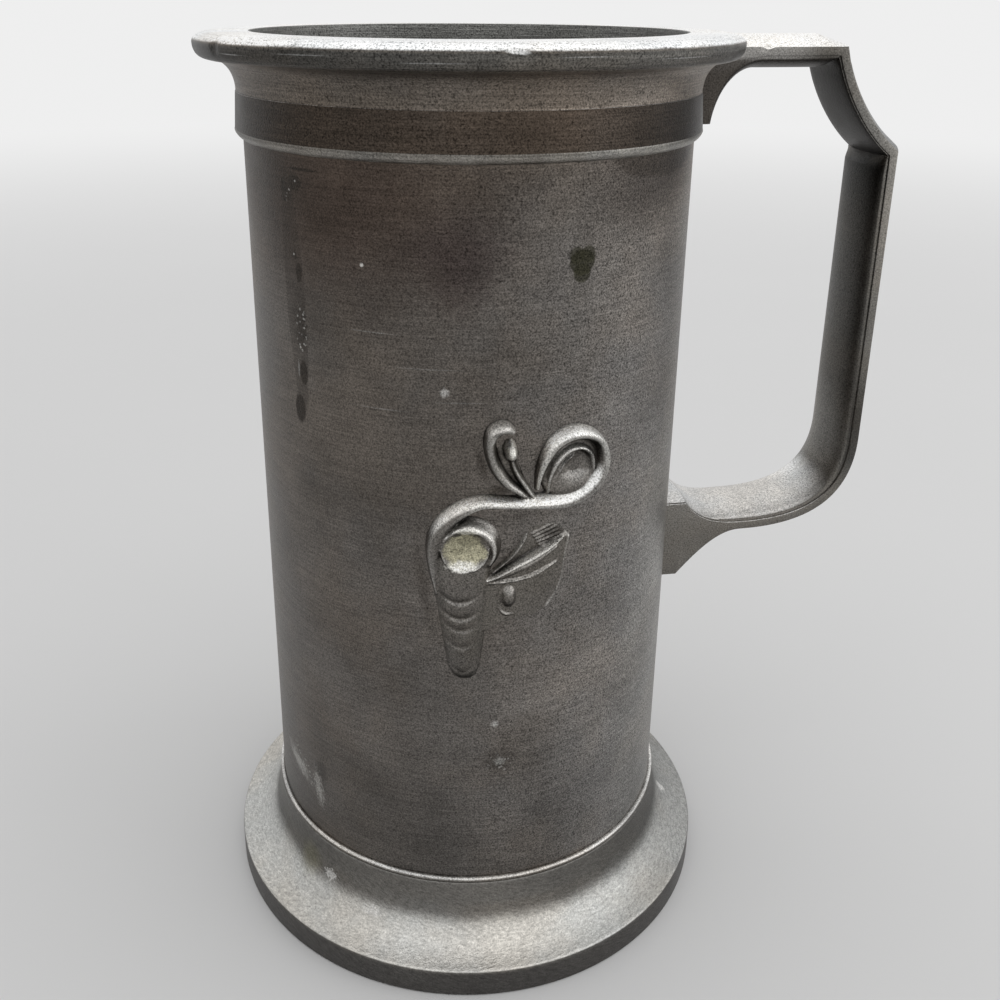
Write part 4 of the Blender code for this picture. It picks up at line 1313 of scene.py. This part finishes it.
def handle_ring(outer, inner, crown, belly, half):
    """A ring of points round the strap, its four edges rounded, a crease beside each ledge."""
    out = (outer - inner).normalized()
    soft = out * EDGE_ROUND
    half_soft = half - EDGE_ROUND
    half_bevel = half - BEVEL * EDGE_ROUND
    side = [(inner, half_soft), (inner + soft * BEVEL, half_bevel), (inner + soft, half)]
    side += [(outer - soft, half), (outer - soft * BEVEL, half_bevel)]
    ring = [(point, -y) for point, y in side]
    for step in range(ACROSS_STEPS + 1):
        across = 2 * step / ACROSS_STEPS - 1
        ring.append((outer + crown * (1 - across * across), across * half_soft))
    ring += [(point, y) for point, y in reversed(side)]
    belly_half = half - BELLY_LEDGE
    for step in range(ACROSS_STEPS + 1):
        turn = math.pi * step / ACROSS_STEPS
        sunk = out * CREASE_DEPTH if step in (0, ACROSS_STEPS) else out * 0.0
        ring.append((inner + belly * math.sin(turn) + sunk, math.cos(turn) * belly_half))
    return [AXIS + Vector((point.x, y, point.y)) for point, y in ring]


def loft(name, rings):
    """An object whose mesh joins neighbouring rings of points, closed at both ends."""
    shape = bmesh.new()
    levels = [[shape.verts.new(point) for point in ring] for ring in rings]
    count = len(levels[0])
    for low, high in zip(levels, levels[1:]):
        for i in range(count):
            j = (i + 1) % count
            shape.faces.new((low[i], low[j], high[j], high[i]))
    shape.faces.new(levels[0])
    shape.faces.new(levels[-1])
    bmesh.ops.recalc_face_normals(shape, faces=shape.faces)
    mesh = bpy.data.meshes.new(name)
    shape.to_mesh(mesh)
    shape.free()
    return placed(name, mesh)


strap = loft("strap_blank", [handle_ring(*station) for station in stations])
print("strap blank:", len(strap.data.polygons), "faces")

# %% Fit the strap to the cup
SOLDERED = 0.12 * MM
SLIVER = 0.003 * MM


def shrunk_side():
    """The cup's outside drawn in by the depth to which the handle is sunk into its solder."""
    side = [(r - SOLDERED, z) for r, z in ring_side()[1:]]
    side[-1] = (side[-1][0], COLLAR_FOOT + SOLDERED)
    wall = DRUM_RADIUS - SOLDERED
    core = DRUM_BORE / 2
    above = CUP_TOP + LIP_THICKNESS
    top = [(LIP_RADIUS - SOLDERED, above)]
    return top + side + [(wall, COLLAR_FOOT + SOLDERED), (wall, FOOT_TOP), (core, FOOT_TOP), (core, above)]


def drop_slivers(mesh):
    """Remove the faces without area that a cut can leave."""
    shape = bmesh.new()
    shape.from_mesh(mesh)
    bmesh.ops.dissolve_degenerate(shape, dist=SLIVER, edges=shape.edges)
    shape.to_mesh(mesh)
    shape.free()


envelope = turned("cup_outside", shrunk_side(), None, unevenness=0.0)
fitting = strap.modifiers.new("fit", "BOOLEAN")
fitting.operation = "DIFFERENCE"
fitting.solver = "EXACT"
fitting.object = envelope
handle = plain_piece("strap_handle", strap)
bpy.data.objects.remove(envelope)
drop_slivers(handle.data)
print("strap handle:", len(handle.data.polygons), "faces")

# %% Handle tones
# Runs and fades for the handle's painted light and shade: painted shade on faces turned to the cup, the
# painted top highlight dimmed by height, painted light on the flanks and by the lip, and a painted
# reflection on the belly's far half.
HANDLE_INNER_SHADE = [(70.0, 1.0), (107.0, 1.0), (116.0, 0.62), (130.0, 0.56), (150.0, 0.40), (165.0, 0.12)]
HANDLE_INNER_SHADE += [(168.0, grey(0.55, 0.04)), (176.0, grey(0.38, 0.05))]
HANDLE_INNER_SHADE += [(184.0, grey(0.14, 0.05)), (190.0, 0.7)]
HANDLE_BY_HEIGHT = [(70.0, 0.62), (91.0, 0.62), (97.0, 0.9), (108.0, 1.0), (155.0, 1.0), (161.0, 0.25)]
HANDLE_BY_HEIGHT += [(171.0, 0.25), (184.0, 1.0), (195.0, 1.0)]
HANDLE_SIDE = [(70.0, 1.2), (90.0, 1.1), (98.0, 0.42), (110.0, 0.48), (125.0, 1.15), (150.0, 1.4)]
HANDLE_SIDE += [(166.0, 1.8), (172.0, 1.2), (184.0, 0.95), (192.0, 0.9)]
UP_FADE = (0.3, 0.6)
FLANK_FADE = (0.75, 0.95)
INWARD_FADE = (-0.15, -0.6)
FAR_SIDE_REFLECTION = (-0.1, 0.35, 0.9, 1.5)
BY_LIP_FADE = (74.0, 62.0)
ON_BAR_FADE = (184.0, 187.0)
WEB_TOP_FADE = (188.0, 186.8)
WEB_LOW_FADE = (120.0, 140.0)
NEAR_WALL_FADE = (62.0, 55.0)
BRACKET_STRENGTH = 0.85
BRACKET_BROWN = (0.055, 0.048, 0.042, 1.0)
BAR_PALE = (0.30, 0.29, 0.275, 1.0)
print("handle tones ready")

# %% Dress and nick the handle
BAR_NICK = Vector((60.0 * MM, -BAR_WIDTH / 2, BAR_Z + STRAP_THICKNESS / 2))
BAR_NICK_REACH = 1.6 * MM
BAR_NICK_PUSH = Vector((0.0, 0.35 * MM, -0.5 * MM))


def dress_handle(tree, place, colour):
    """Darker where the belly faces the cup, brown in the bracket, duller on top of the lower run."""
    # The darker faces towards the cup are painted shade, the lighter far half of the belly a painted
    # reflection, the lighter flanks and bar by the lip painted light, and the duller top of the lower run
    # the painted top highlight dimmed.
    facing = parted(tree, node(tree, "ShaderNodeNewGeometry").outputs["Normal"])
    up, out = place["Up"], place["Out"]
    lower = toned(tree, colour, up, HANDLE_BY_HEIGHT)
    colour = mixed(tree, ranged(tree, facing["Z"], *UP_FADE), colour, lower)
    flank = toned(tree, colour, up, HANDLE_SIDE)
    by_lip = maths(tree, "MULTIPLY", ranged(tree, out, *BY_LIP_FADE), ranged(tree, up, *ON_BAR_FADE))
    flank = mixed(tree, by_lip, flank, BAR_PALE)
    on_flank = ranged(tree, maths(tree, "ABSOLUTE", facing["Y"]), *FLANK_FADE)
    colour = mixed(tree, on_flank, colour, flank)
    shaded = toned(tree, colour, up, HANDLE_INNER_SHADE)
    shaded = vectors(tree, "SCALE", shaded, ranged(tree, facing["Y"], *FAR_SIDE_REFLECTION))
    colour = mixed(tree, ranged(tree, facing["X"], *INWARD_FADE), colour, shaded)
    web = maths(tree, "MULTIPLY", ranged(tree, up, *WEB_TOP_FADE), ranged(tree, up, *WEB_LOW_FADE))
    bracket = maths(tree, "MULTIPLY", ranged(tree, out, *NEAR_WALL_FADE), web)
    return mixed(tree, maths(tree, "MULTIPLY", bracket, BRACKET_STRENGTH), colour, BRACKET_BROWN)


handle_tones = ((0.95, 0.945, 0.93), (0.165, 0.157, 0.144), (0.05, 0.046, 0.042))
handle_metal = pewter("handle_pewter", handle_tones, top_edge=0.8, lines=0.2, dress=dress_handle)
dented(handle, AXIS + BAR_NICK, BAR_NICK_REACH, BAR_NICK_PUSH)
handle.data.materials.clear()
handle.data.materials.append(handle_metal)
print("handle metal ready")

# %% [markdown]
# ## Relief
# The relief is a small casting soldered to the front: a ribbon that hooks round a dished boss and
# rolls up into a volute, a curl with a bud, a horn-shaped roll with sagging folds, and a leaf. It was
# modelled by hand in clay or wax, so its forms flow into each other. Separate tubes would look like
# wire. A height field suits it better: every stroke raises the same sheet, the highest one wins, a
# light blur melts the seams, and the sheet is wrapped on the drum. Where nothing is raised the sheet
# dips below the drum's skin, which gives a clean edge at the wall.

# %% A sheet to model on
SHEET_STEP = 0.17
SHEET_LOW = (-18.5, -29.5)
SHEET_HIGH = (24.0, 29.5)
RELIEF_UP = 100.0
SUNK = -0.5
EDGE_SLOPE = 2.2
FACE_UP = 0.32
SKIRT_ROOM = 1.0
columns = np.arange(SHEET_LOW[0], SHEET_HIGH[0], SHEET_STEP)
rows = np.arange(SHEET_LOW[1], SHEET_HIGH[1], SHEET_STEP)
SHEET_A, SHEET_U = np.meshgrid(columns, rows)
sheet = np.full(SHEET_A.shape, SUNK)
shine = np.zeros(SHEET_A.shape)


def lay(height, sheen):
    """Raise the sheet where this form is higher, and note how much painted highlight the form takes."""
    higher = height > sheet
    sheet[higher] = height[higher]
    shine[higher] = sheen


print("sheet:", SHEET_A.shape, "points")

# %% Strokes on the sheet
def flowing(knots, spacing=0.15):
    """Points this far apart on a smooth curve through the knots; each knot is a row of values."""
    knots = np.array(knots, float)
    ends = np.vstack([2 * knots[0] - knots[1], knots, 2 * knots[-1] - knots[-2]])
    pieces = []
    for a, b, c, d in zip(ends, ends[1:], ends[2:], ends[3:]):
        count = max(2, int(np.hypot(*(c - b)[:2]) / spacing))
        t = np.linspace(0.0, 1.0, count, endpoint=False)[:, None]
        square = (2 * a - 5 * b + 4 * c - d) * t**2
        cube = (3 * b - a - 3 * c + d) * t**3
        pieces.append(0.5 * (2 * b + (c - a) * t + square + cube))
    return np.vstack(pieces + [knots[-1:]])


def raised(reach, width, rise, round_power, slope=EDGE_SLOPE):
    """Height over a form: a rounded top inside its half width, a skirt of this slope outside."""
    share = np.clip(reach / width, 0.0, 1.0)
    return np.where(reach < width, rise * (1.0 - share**round_power), -slope * (reach - width))


def stroke(knots, round_power=2.6):
    """Height of a strand whose face is tilted up; its knots are rows of across, up, half width, rise."""
    height = np.full(SHEET_A.shape, SUNK)
    for across, up, width, rise in flowing(knots):
        near = width + SKIRT_ROOM
        low = np.searchsorted(columns, [across - near, across + near])
        high = np.searchsorted(rows, [up - near, up + near])
        window = (slice(high[0], high[1]), slice(low[0], low[1]))
        over = SHEET_U[window] - up
        tilt = 1.0 - FACE_UP * np.clip(over / width, -1.0, 1.0)
        disc = raised(np.hypot(SHEET_A[window] - across, over), width, rise * tilt, round_power)
        height[window] = np.maximum(height[window], disc)
    return height


print("strokes ready")

# %% Ribbon, eye and curl
RIBBON = [
    (-12.9, -8.5, 0.6, 0.7),
    (-13.3, -3.6, 1.3, 1.5),
    (-13.3, 0.6, 1.85, 2.1),
    (-12.6, 3.9, 2.05, 2.4),
    (-10.9, 7.0, 1.95, 2.5),
    (-8.2, 9.5, 1.7, 2.5),
    (-4.7, 11.0, 1.35, 2.5),
    (-1.2, 10.9, 1.2, 2.4),
    (2.3, 10.6, 1.2, 2.4),
    (6.0, 10.4, 1.5, 2.5),
    (9.8, 10.1, 1.75, 2.6),
    (13.3, 10.4, 1.9, 2.6),
    (16.6, 11.8, 1.9, 2.6),
    (18.9, 14.2, 1.6, 2.6),
    (19.7, 17.4, 1.25, 2.6),
    (18.4, 21.0, 1.2, 2.7),
    (15.6, 23.0, 1.4, 2.7),
    (12.2, 23.4, 1.5, 2.6),
    (9.2, 22.0, 1.35, 2.4),
    (7.4, 19.3, 1.1, 2.1),
    (6.4, 16.4, 0.8, 1.7),
    (6.0, 13.0, 0.5, 1.0),
]
EYE = [
    (7.9, 12.0, 0.45, 1.1),
    (8.3, 15.4, 0.65, 1.5),
    (9.5, 18.2, 0.75, 1.8),
    (11.7, 20.2, 0.75, 1.9),
    (14.3, 20.4, 0.7, 1.9),
    (16.5, 18.7, 0.6, 1.8),
    (17.3, 16.0, 0.5, 1.5),
    (17.2, 13.8, 0.35, 0.9),
]
EYE_LINE = [
    (9.3, 12.6, 0.25, 0.8),
    (9.8, 15.0, 0.35, 1.1),
    (11.2, 17.6, 0.35, 1.2),
    (13.2, 18.9, 0.3, 1.0),
]
CURL = [
    (4.4, 11.0, 0.6, 1.3),
    (2.4, 12.9, 0.85, 1.7),
    (0.0, 15.0, 1.1, 2.1),
    (-1.9, 17.9, 1.2, 2.3),
    (-2.9, 20.8, 1.15, 2.4),
    (-3.1, 23.4, 1.2, 2.5),
    (-2.3, 25.3, 1.35, 2.6),
    (-0.6, 26.0, 1.3, 2.6),
    (0.9, 25.2, 0.8, 1.9),
]
CURL_TIP = CURL[5:]
BUD_STEM = [
    (5.4, 11.0, 0.6, 1.5),
    (3.6, 13.8, 0.65, 1.6),
    (2.1, 16.3, 0.6, 1.6),
    (1.2, 18.4, 0.55, 1.5),
    (0.9, 20.2, 0.5, 1.5),
]
# Each strand's number is how much painted highlight it takes.
STRANDS = [(RIBBON, 1.0), (EYE, 0.7), (EYE_LINE, 0.4), (CURL, 0.5), (CURL_TIP, 1.0), (BUD_STEM, 0.6)]
for strand, sheen in STRANDS:
    lay(stroke(strand), sheen)
print(f"ribbon and curl: up to {sheet.max():.1f} mm high")

# %% Volute and bud
def dome(across, up, wide, tall, rise, round_power=2.4, lean=0.0):
    """Height of an oval dome; lean shifts it across as it goes up."""
    run = SHEET_A - across - lean * (SHEET_U - up)
    reach = np.hypot(run / wide, (SHEET_U - up) / tall)
    return raised(reach * wide, wide, rise, round_power)


VOLUTE_GROUND = (13.0, 16.6, 6.6, 6.6, 0.75, 6.0)
BOWL_MIDDLE = (13.6, 17.0)
BOWL_SPREAD = (2.4, 2.1)
BOWL_DEPTH = 1.1
BOWL_FLOOR = 0.12
BOWL_TURN = 15.4
BOWL_SLOPE = 0.3
BOWL_LIP = 0.9


def volute_bowl():
    """The dished ground of the volute: hollow in its middle, turned up towards the ribbon below."""
    ground = dome(*VOLUTE_GROUND)
    across = (SHEET_A - BOWL_MIDDLE[0]) / BOWL_SPREAD[0]
    over = (SHEET_U - BOWL_MIDDLE[1]) / BOWL_SPREAD[1]
    hollow = BOWL_DEPTH * np.exp(-(across**2) - over**2)
    bowl = ground - hollow + np.clip((BOWL_TURN - SHEET_U) * BOWL_SLOPE, 0.0, BOWL_LIP)
    return np.where(ground > 0.0, np.maximum(bowl, BOWL_FLOOR), bowl)


BUD_GROUND = (0.9, 17.2, 2.0, 5.0, 0.3, 4.0, -0.36)
BUD = (0.7, 21.2, 1.35, 2.2, 3.5, 2.2, -0.08)
lay(volute_bowl(), 0.1)
lay(dome(*BUD_GROUND), 0.1)
lay(dome(*BUD), 1.0)
print("volute and bud added")

# %% Boss, roll and its folds
BOSS = (-7.6, 1.4)
BOSS_RADIUS = 4.45
BOSS_FLOOR = 1.25
BOSS_DISH = 1.3
CRESCENT = [
    (-10.8, 4.4, 0.3, 2.2),
    (-8.9, 6.0, 0.75, 2.6),
    (-6.6, 6.3, 1.1, 2.7),
    (-4.3, 5.2, 1.25, 2.6),
    (-2.7, 3.0, 1.2, 2.4),
    (-2.3, 0.5, 0.9, 2.0),
    (-2.9, -2.0, 0.4, 1.3),
]
HORN_MOUTH = (-7.0, 1.6, 6.3, 6.3, 1.7, 5.0)
ROLL_LEFT = [(-28.0, -8.6), (-26.9, -10.0), (-24.8, -10.9), (-20.4, -11.6), (-15.2, -12.4), (-10.0, -13.2)]
ROLL_LEFT += [(-5.3, -13.9), (0.6, -14.8), (4.0, -15.0)]
ROLL_RIGHT = [(-28.0, -6.6), (-26.9, -5.3), (-24.8, -4.6), (-20.4, -4.1), (-15.2, -3.5), (-10.0, -3.1)]
ROLL_RIGHT += [(-5.3, -2.7), (0.6, -2.4), (4.0, -2.2)]
ROLL_RISE = [(-28.0, 0.0), (-27.0, 0.7), (-25.6, 1.4), (-20.0, 2.2), (-6.0, 2.7), (-1.0, 2.4), (4.0, -0.5)]
ROLL_SKIRT = 1.1
FOLDS = [(-8.0, 0.5, 1.5), (-11.8, 0.5, 1.4), (-14.6, 0.38, 1.2), (-18.4, 0.36, 1.3), (-24.4, 0.25, 1.4)]
FOLD_ABOVE = 2.2
FOLD_BELOW = 0.75
SAG_PLACE = (0.1, 0.8)
FOLD_PLACE = (0.12, 0.85)
THINNEST = 0.05
BOSS_CURVE = 2.2


def roll_height():
    """A half-round horn between its two sides, with folds that sag like the creases of a sleeve."""
    left = np.interp(SHEET_U, *np.array(ROLL_LEFT).T)
    right = np.interp(SHEET_U, *np.array(ROLL_RIGHT).T)
    half = np.maximum((right - left) / 2, THINNEST)
    share = (SHEET_A - (left + right) / 2) / half
    rise = np.interp(SHEET_U, *np.array(ROLL_RISE).T)
    height = raised(np.abs(share) * half, half, rise, 2.0, ROLL_SKIRT)
    for up, depth, sag in FOLDS:
        line = up - sag * (1.0 - ((share + SAG_PLACE[0]) / SAG_PLACE[1]) ** 2)
        over = SHEET_U - line
        above = np.clip(1.0 - over / FOLD_ABOVE, 0.0, 1.0) ** 2
        below = np.clip(1.0 + over / FOLD_BELOW, 0.0, 1.0)
        fade = np.clip(1.0 - np.abs((share + FOLD_PLACE[0]) / FOLD_PLACE[1]) ** 3, 0.0, 1.0)
        height -= depth * fade * np.where(over > 0.0, above, below)
    beyond = (SHEET_U < ROLL_RISE[0][0]) | (SHEET_U > ROLL_RISE[-1][0])
    return np.where(beyond, SUNK, height)


lay(roll_height(), 0.06)
lay(dome(*HORN_MOUTH), 0.3)
boss_reach = np.hypot(SHEET_A - BOSS[0], SHEET_U - BOSS[1]) / BOSS_RADIUS
in_boss = boss_reach < 1.0
sheet[in_boss] = BOSS_FLOOR + BOSS_DISH * boss_reach[in_boss] ** BOSS_CURVE
shine[in_boss] = 0.8
lay(stroke(CRESCENT), 1.0)
print("boss and roll added")

# %% Leaf, veins and bead
LEAF_EDGE = [(5.0, 5.2), (7.8, 5.3), (10.6, 4.4), (12.7, 2.1), (11.9, -1.9), (11.3, -6.5), (10.0, -10.0)]
LEAF_EDGE += [(8.3, -12.5), (5.7, -14.5), (3.1, -14.7), (-0.2, -15.2), (-3.1, -16.8)]
LEAF_ROOT = [(-6.5, -17.0), (-6.5, -4.0), (-2.4, -4.0), (1.1, -0.9), (2.7, 1.0), (4.0, 3.2), (4.8, 5.0)]
LEAF_BELOW = 0.6
LEAF_ABOVE = 0.02
LEAF_SKIRT = 1.4
LEAF_LINE = (-4.05, 0.496)
THIN_VEIN = [(-2.4, -4.0, 0.3, 1.0), (1.1, -0.9, 0.36, 1.1), (2.7, 1.0, 0.36, 1.1), (4.0, 3.2, 0.3, 1.0)]
MAIN_VEIN = [(-4.4, -6.2, 0.3, 0.8), (-1.4, -4.6, 0.45, 1.5), (1.9, -2.6, 0.6, 1.9), (5.6, -0.8, 0.65, 2.0)]
MAIN_VEIN += [(8.5, 0.7, 0.55, 1.9), (11.4, 2.0, 0.3, 1.1)]
VEIN_BODY = [(-3.4, -6.2, 0.3, 0.8), (1.9, -3.6, 0.8, 1.4), (5.6, -2.0, 0.95, 1.5), (10.0, 0.3, 0.5, 1.1)]
LOW_VEIN = [(-4.4, -6.4, 0.3, 0.8), (-1.0, -6.0, 0.4, 1.2), (2.9, -5.7, 0.38, 1.2), (6.2, -4.8, 0.4, 1.3)]
LOW_VEIN += [(10.2, -3.0, 0.25, 1.0)]
BEAD_POCKET = [(-1.4, -7.2, 0.3, 0.8), (-1.4, -10.6, 0.35, 0.9), (-0.2, -12.9, 0.4, 1.0)]
BEAD_POCKET += [(1.8, -13.3, 0.3, 0.8)]
VEINS = [(THIN_VEIN, 0.4), (VEIN_BODY, 0.2), (MAIN_VEIN, 1.0), (LOW_VEIN, 0.4), (BEAD_POCKET, 0.25)]
HATCHES = 5
HATCH_START = np.array((5.2, 3.4, 0.22, 0.5))
HATCH_END = np.array((9.6, 5.0, 0.18, 0.35))
START_STEP = np.array((0.4, -0.62, 0.0, 0.0))
END_STEP = np.array((0.5, -0.75, 0.0, 0.0))
for line in range(HATCHES):
    VEINS.append(([HATCH_START + START_STEP * line, HATCH_END + END_STEP * line], 0.0))
LEAF_BEAD = (0.8, -9.3, 1.75, 2.8, 1.8, 2.2)
LEAF_RIM = (0.36, 0.95)
RIM_START = 3
RIM_END = 8


def leaf_height():
    """A low plate inside the leaf's edge: hollow above its main vein, a little proud below it."""
    edge = flowing(LEAF_EDGE, 0.3)
    outline = np.vstack([edge, LEAF_ROOT])
    inside = np.zeros(SHEET_A.shape, bool)
    for (a0, u0), (a1, u1) in zip(outline, np.roll(outline, -1, axis=0)):
        if u0 != u1:
            crosses = (u0 > SHEET_U) != (u1 > SHEET_U)
            inside ^= crosses & (SHEET_A < a0 + (SHEET_U - u0) * (a1 - a0) / (u1 - u0))
    reach = np.full(SHEET_A.shape, np.inf)
    for across, up in outline:
        reach = np.minimum(reach, np.hypot(SHEET_A - across, SHEET_U - up))
    above = np.clip(SHEET_U - LEAF_LINE[0] - LEAF_LINE[1] * SHEET_A, 0.0, 1.0)
    plate = LEAF_BELOW + (LEAF_ABOVE - LEAF_BELOW) * above
    return np.where(inside, plate, -LEAF_SKIRT * reach)


lay(leaf_height(), 0.15)
lay(dome(*LEAF_BEAD), 0.2)
lay(stroke([(*place, *LEAF_RIM) for place in LEAF_EDGE[RIM_START:RIM_END]]), 0.5)
for vein, sheen in VEINS:
    lay(stroke(vein), sheen)
print("leaf added")

# %% Melt the forms together
SOFTENING = np.array([0.25, 0.5, 0.25])
MELT = 1
HOLLOW_REACH = 18


def blurred(field, times):
    """The field with each point eased towards its neighbours."""
    for _ in range(times):
        for axis in (0, 1):
            before = np.roll(field, 1, axis)
            after = np.roll(field, -1, axis)
            field = SOFTENING[0] * before + SOFTENING[1] * field + SOFTENING[2] * after
    return field


cast_form = np.clip(blurred(sheet, MELT), SUNK, None)
print(f"melted: up to {cast_form.max():.1f} mm high")

# %% Cast the sheet as a solid on the drum
BACK = -1.0
ENDS = 0.1


def cast_sheet(name, height):
    """A closed solid: the raised cells of the sheet, a back inside the wall and sides between them.

    Cells that would meet only at a corner get a neighbour, so the solid has no pinched edge.
    """
    proud = height > SUNK + ENDS
    used = proud[:-1, :-1] | proud[1:, 1:] | proud[:-1, 1:] | proud[1:, :-1]
    falling = used[:-1, :-1] & used[1:, 1:] & ~used[1:, :-1] & ~used[:-1, 1:]
    rising = used[1:, :-1] & used[:-1, 1:] & ~used[:-1, :-1] & ~used[1:, 1:]
    used[:-1, 1:] |= falling
    used[:-1, :-1] |= rising
    width = height.shape[1]
    first = (np.argwhere(used) * (width, 1)).sum(axis=1)
    corners = np.column_stack([first, first + 1, first + width + 1, first + width])
    numbers, compact = np.unique(corners, return_inverse=True)
    top = compact.reshape(corners.shape)
    count = len(numbers)
    edges = np.concatenate([top[:, [i, (i + 1) % 4]] for i in range(4)]).tolist()
    known = {tuple(edge) for edge in edges}
    rim = [(a, b) for a, b in edges if (b, a) not in known]
    faces = top.tolist() + (top[:, ::-1] + count).tolist()
    faces += [[b, a, a + count, b + count] for a, b in rim]
    up = (SHEET_U.ravel()[numbers] + RELIEF_UP) * MM
    turn = SHEET_A.ravel()[numbers] * MM / DRUM_RADIUS
    points = []
    for level in (height.ravel()[numbers], np.full(count, BACK)):
        out = DRUM_RADIUS + level * MM
        points.append(np.column_stack([AXIS.x + out * np.sin(turn), -out * np.cos(turn), up]))
    mesh = bpy.data.meshes.new(name)
    mesh.from_pydata(np.vstack(points).tolist(), [], faces)
    mesh.validate()
    return placed(name, mesh), numbers


relief, relief_points = cast_sheet("scroll_relief", cast_form)
shade_smooth(relief.data)
# The hollow attribute gives painted shade with grime in recesses, and shine the painted highlight of each
# form.
proud = np.clip(cast_form, 0.0, None)
hollowness = np.clip(blurred(proud, HOLLOW_REACH) - proud, -1.0, 1.0).ravel()[relief_points]
sheen_here = blurred(shine, MELT).ravel()[relief_points]
for name, values in (("hollow", hollowness), ("shine", sheen_here)):
    worn = relief.data.attributes.new(name, "FLOAT", "POINT")
    worn.data.foreach_set("value", np.concatenate([values, values * 0.0]))
print("scroll relief:", len(relief.data.polygons), "faces")

# %% Relief metal
GRIME_AND_SHADE = (0.024, 0.021, 0.018, 1.0)
CREST_HIGHLIGHT = (0.62, 0.61, 0.58, 1.0)
RELIEF_SKIN = (0.150, 0.139, 0.127, 1.0)
BOSS_OLIVE = (0.56, 0.53, 0.37)
RELIEF_HIGHLIGHT = (0.80, 0.785, 0.73)
BOSS_SHADOW_AND_SPECKLE = (0.10, 0.093, 0.06)
DULLNESS = 0.9
CREST_FADE = (-0.05, -0.45)
CREST_STRENGTH = 0.7
GRIME_AND_SHADE_FADE = (0.04, 0.5)
GRIME_AND_SHADE_STRENGTH = 0.85


def dress_relief(tree, place, colour):
    """Painted shade and grime in hollows, painted highlights on crests of the forms that stand out most."""
    hollow = node(tree, "ShaderNodeAttribute", attribute_name="hollow").outputs["Fac"]
    shiny = node(tree, "ShaderNodeAttribute", attribute_name="shine").outputs["Fac"]
    # Forms with little painted highlight have their top tone darkened towards the skin's tone.
    dull = maths(tree, "MULTIPLY_ADD", shiny, -DULLNESS, DULLNESS)
    colour = mixed(tree, dull, colour, RELIEF_SKIN, "DARKEN")
    sheen = maths(tree, "MULTIPLY", shiny, CREST_STRENGTH)
    crest = maths(tree, "MULTIPLY", ranged(tree, hollow, *CREST_FADE), sheen)
    colour = mixed(tree, crest, colour, CREST_HIGHLIGHT)
    grime_and_shade = maths(tree, "MULTIPLY", ranged(tree, hollow, *GRIME_AND_SHADE_FADE), GRIME_AND_SHADE_STRENGTH)
    return mixed(tree, grime_and_shade, colour, GRIME_AND_SHADE)


boss_up = BOSS[1] + RELIEF_UP
# Marks on the relief: an olive boss with dark speckles; painted shadow on the boss's upper part; painted
# highlights on its lower part, on its rim under the crescent, on the bud and on a vein; and painted shade
# in the volute's bowl, in the leaf's hollow and beside the roll.
relief_marks = [
    spot(BOSS[0], boss_up, 4.3, 4.3, BOSS_OLIVE, 0.7, softness=0.3, ragged=0.8),
    spot(BOSS[0] + 0.8, boss_up + 2.0, 3.0, 1.5, BOSS_SHADOW_AND_SPECKLE, 0.4, ragged=1.8),
    spot(BOSS[0] - 1.4, boss_up - 0.2, 1.6, 1.2, BOSS_SHADOW_AND_SPECKLE, 0.35, softness=0.8, ragged=2.4),
    spot(BOSS[0] - 0.3, boss_up - 3.2, 3.4, 1.3, RELIEF_HIGHLIGHT, 0.8, ragged=1.6, fray=1.2),
    spot(-7.2, 106.0, 3.4, 1.1, RELIEF_HIGHLIGHT, 0.85, softness=0.6, ragged=0.8),
    spot(0.55, 121.6, 1.4, 2.5, RELIEF_HIGHLIGHT, 0.9, softness=0.4, ragged=0.6),
    spot(3.6, 98.3, 0.6, 2.7, RELIEF_HIGHLIGHT, 0.6, lean=1.85, softness=0.8),
    spot(12.7, 117.9, 2.6, 1.3, GRIME_AND_SHADE[:3], 0.6, lean=0.9, softness=0.9, ragged=0.8),
    spot(9.4, 103.2, 3.4, 1.6, GRIME_AND_SHADE[:3], 0.65, softness=0.7, ragged=0.8),
    spot(-12.0, 91.0, 1.6, 4.0, GRIME_AND_SHADE[:3], 0.35, softness=0.9),
]
relief_tones = ((0.88, 0.87, 0.84), RELIEF_SKIN[:3], (0.03, 0.027, 0.024))
relief_metal = pewter(
    "relief_pewter", relief_tones, top_edge=0.55, lines=0.1, grain=0.6,
    dress=dress_relief, marks=relief_marks
)
relief.data.materials.append(relief_metal)
print("relief metal ready")

# %% [markdown]
# ## Hand the pieces to the frame
# Every new piece rides on the cup's one body, and the solid whose place it takes is hidden.

# %% Ride on the body and hide the solids replaced
HAND_OVER = [
    (drum, "drum", "dark_pewter"),
    (ring, "mouth_ring", "rim_pewter"),
    (collar_seam, "collar_seam", "solder"),
    (foot, "foot", "foot_pewter"),
    (bead, "foot_bead", "solder"),
    (disc, "floor_disc", "dark_pewter"),
    (floor_seam, "floor_seam", "solder"),
    (handle, "handle", "handle_pewter"),
    (relief, "relief", "relief_pewter"),
]
for piece, solid, finish in HAND_OVER:
    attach(piece, "root")
    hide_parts(solid)
print(len(HAND_OVER), "pieces handed over")
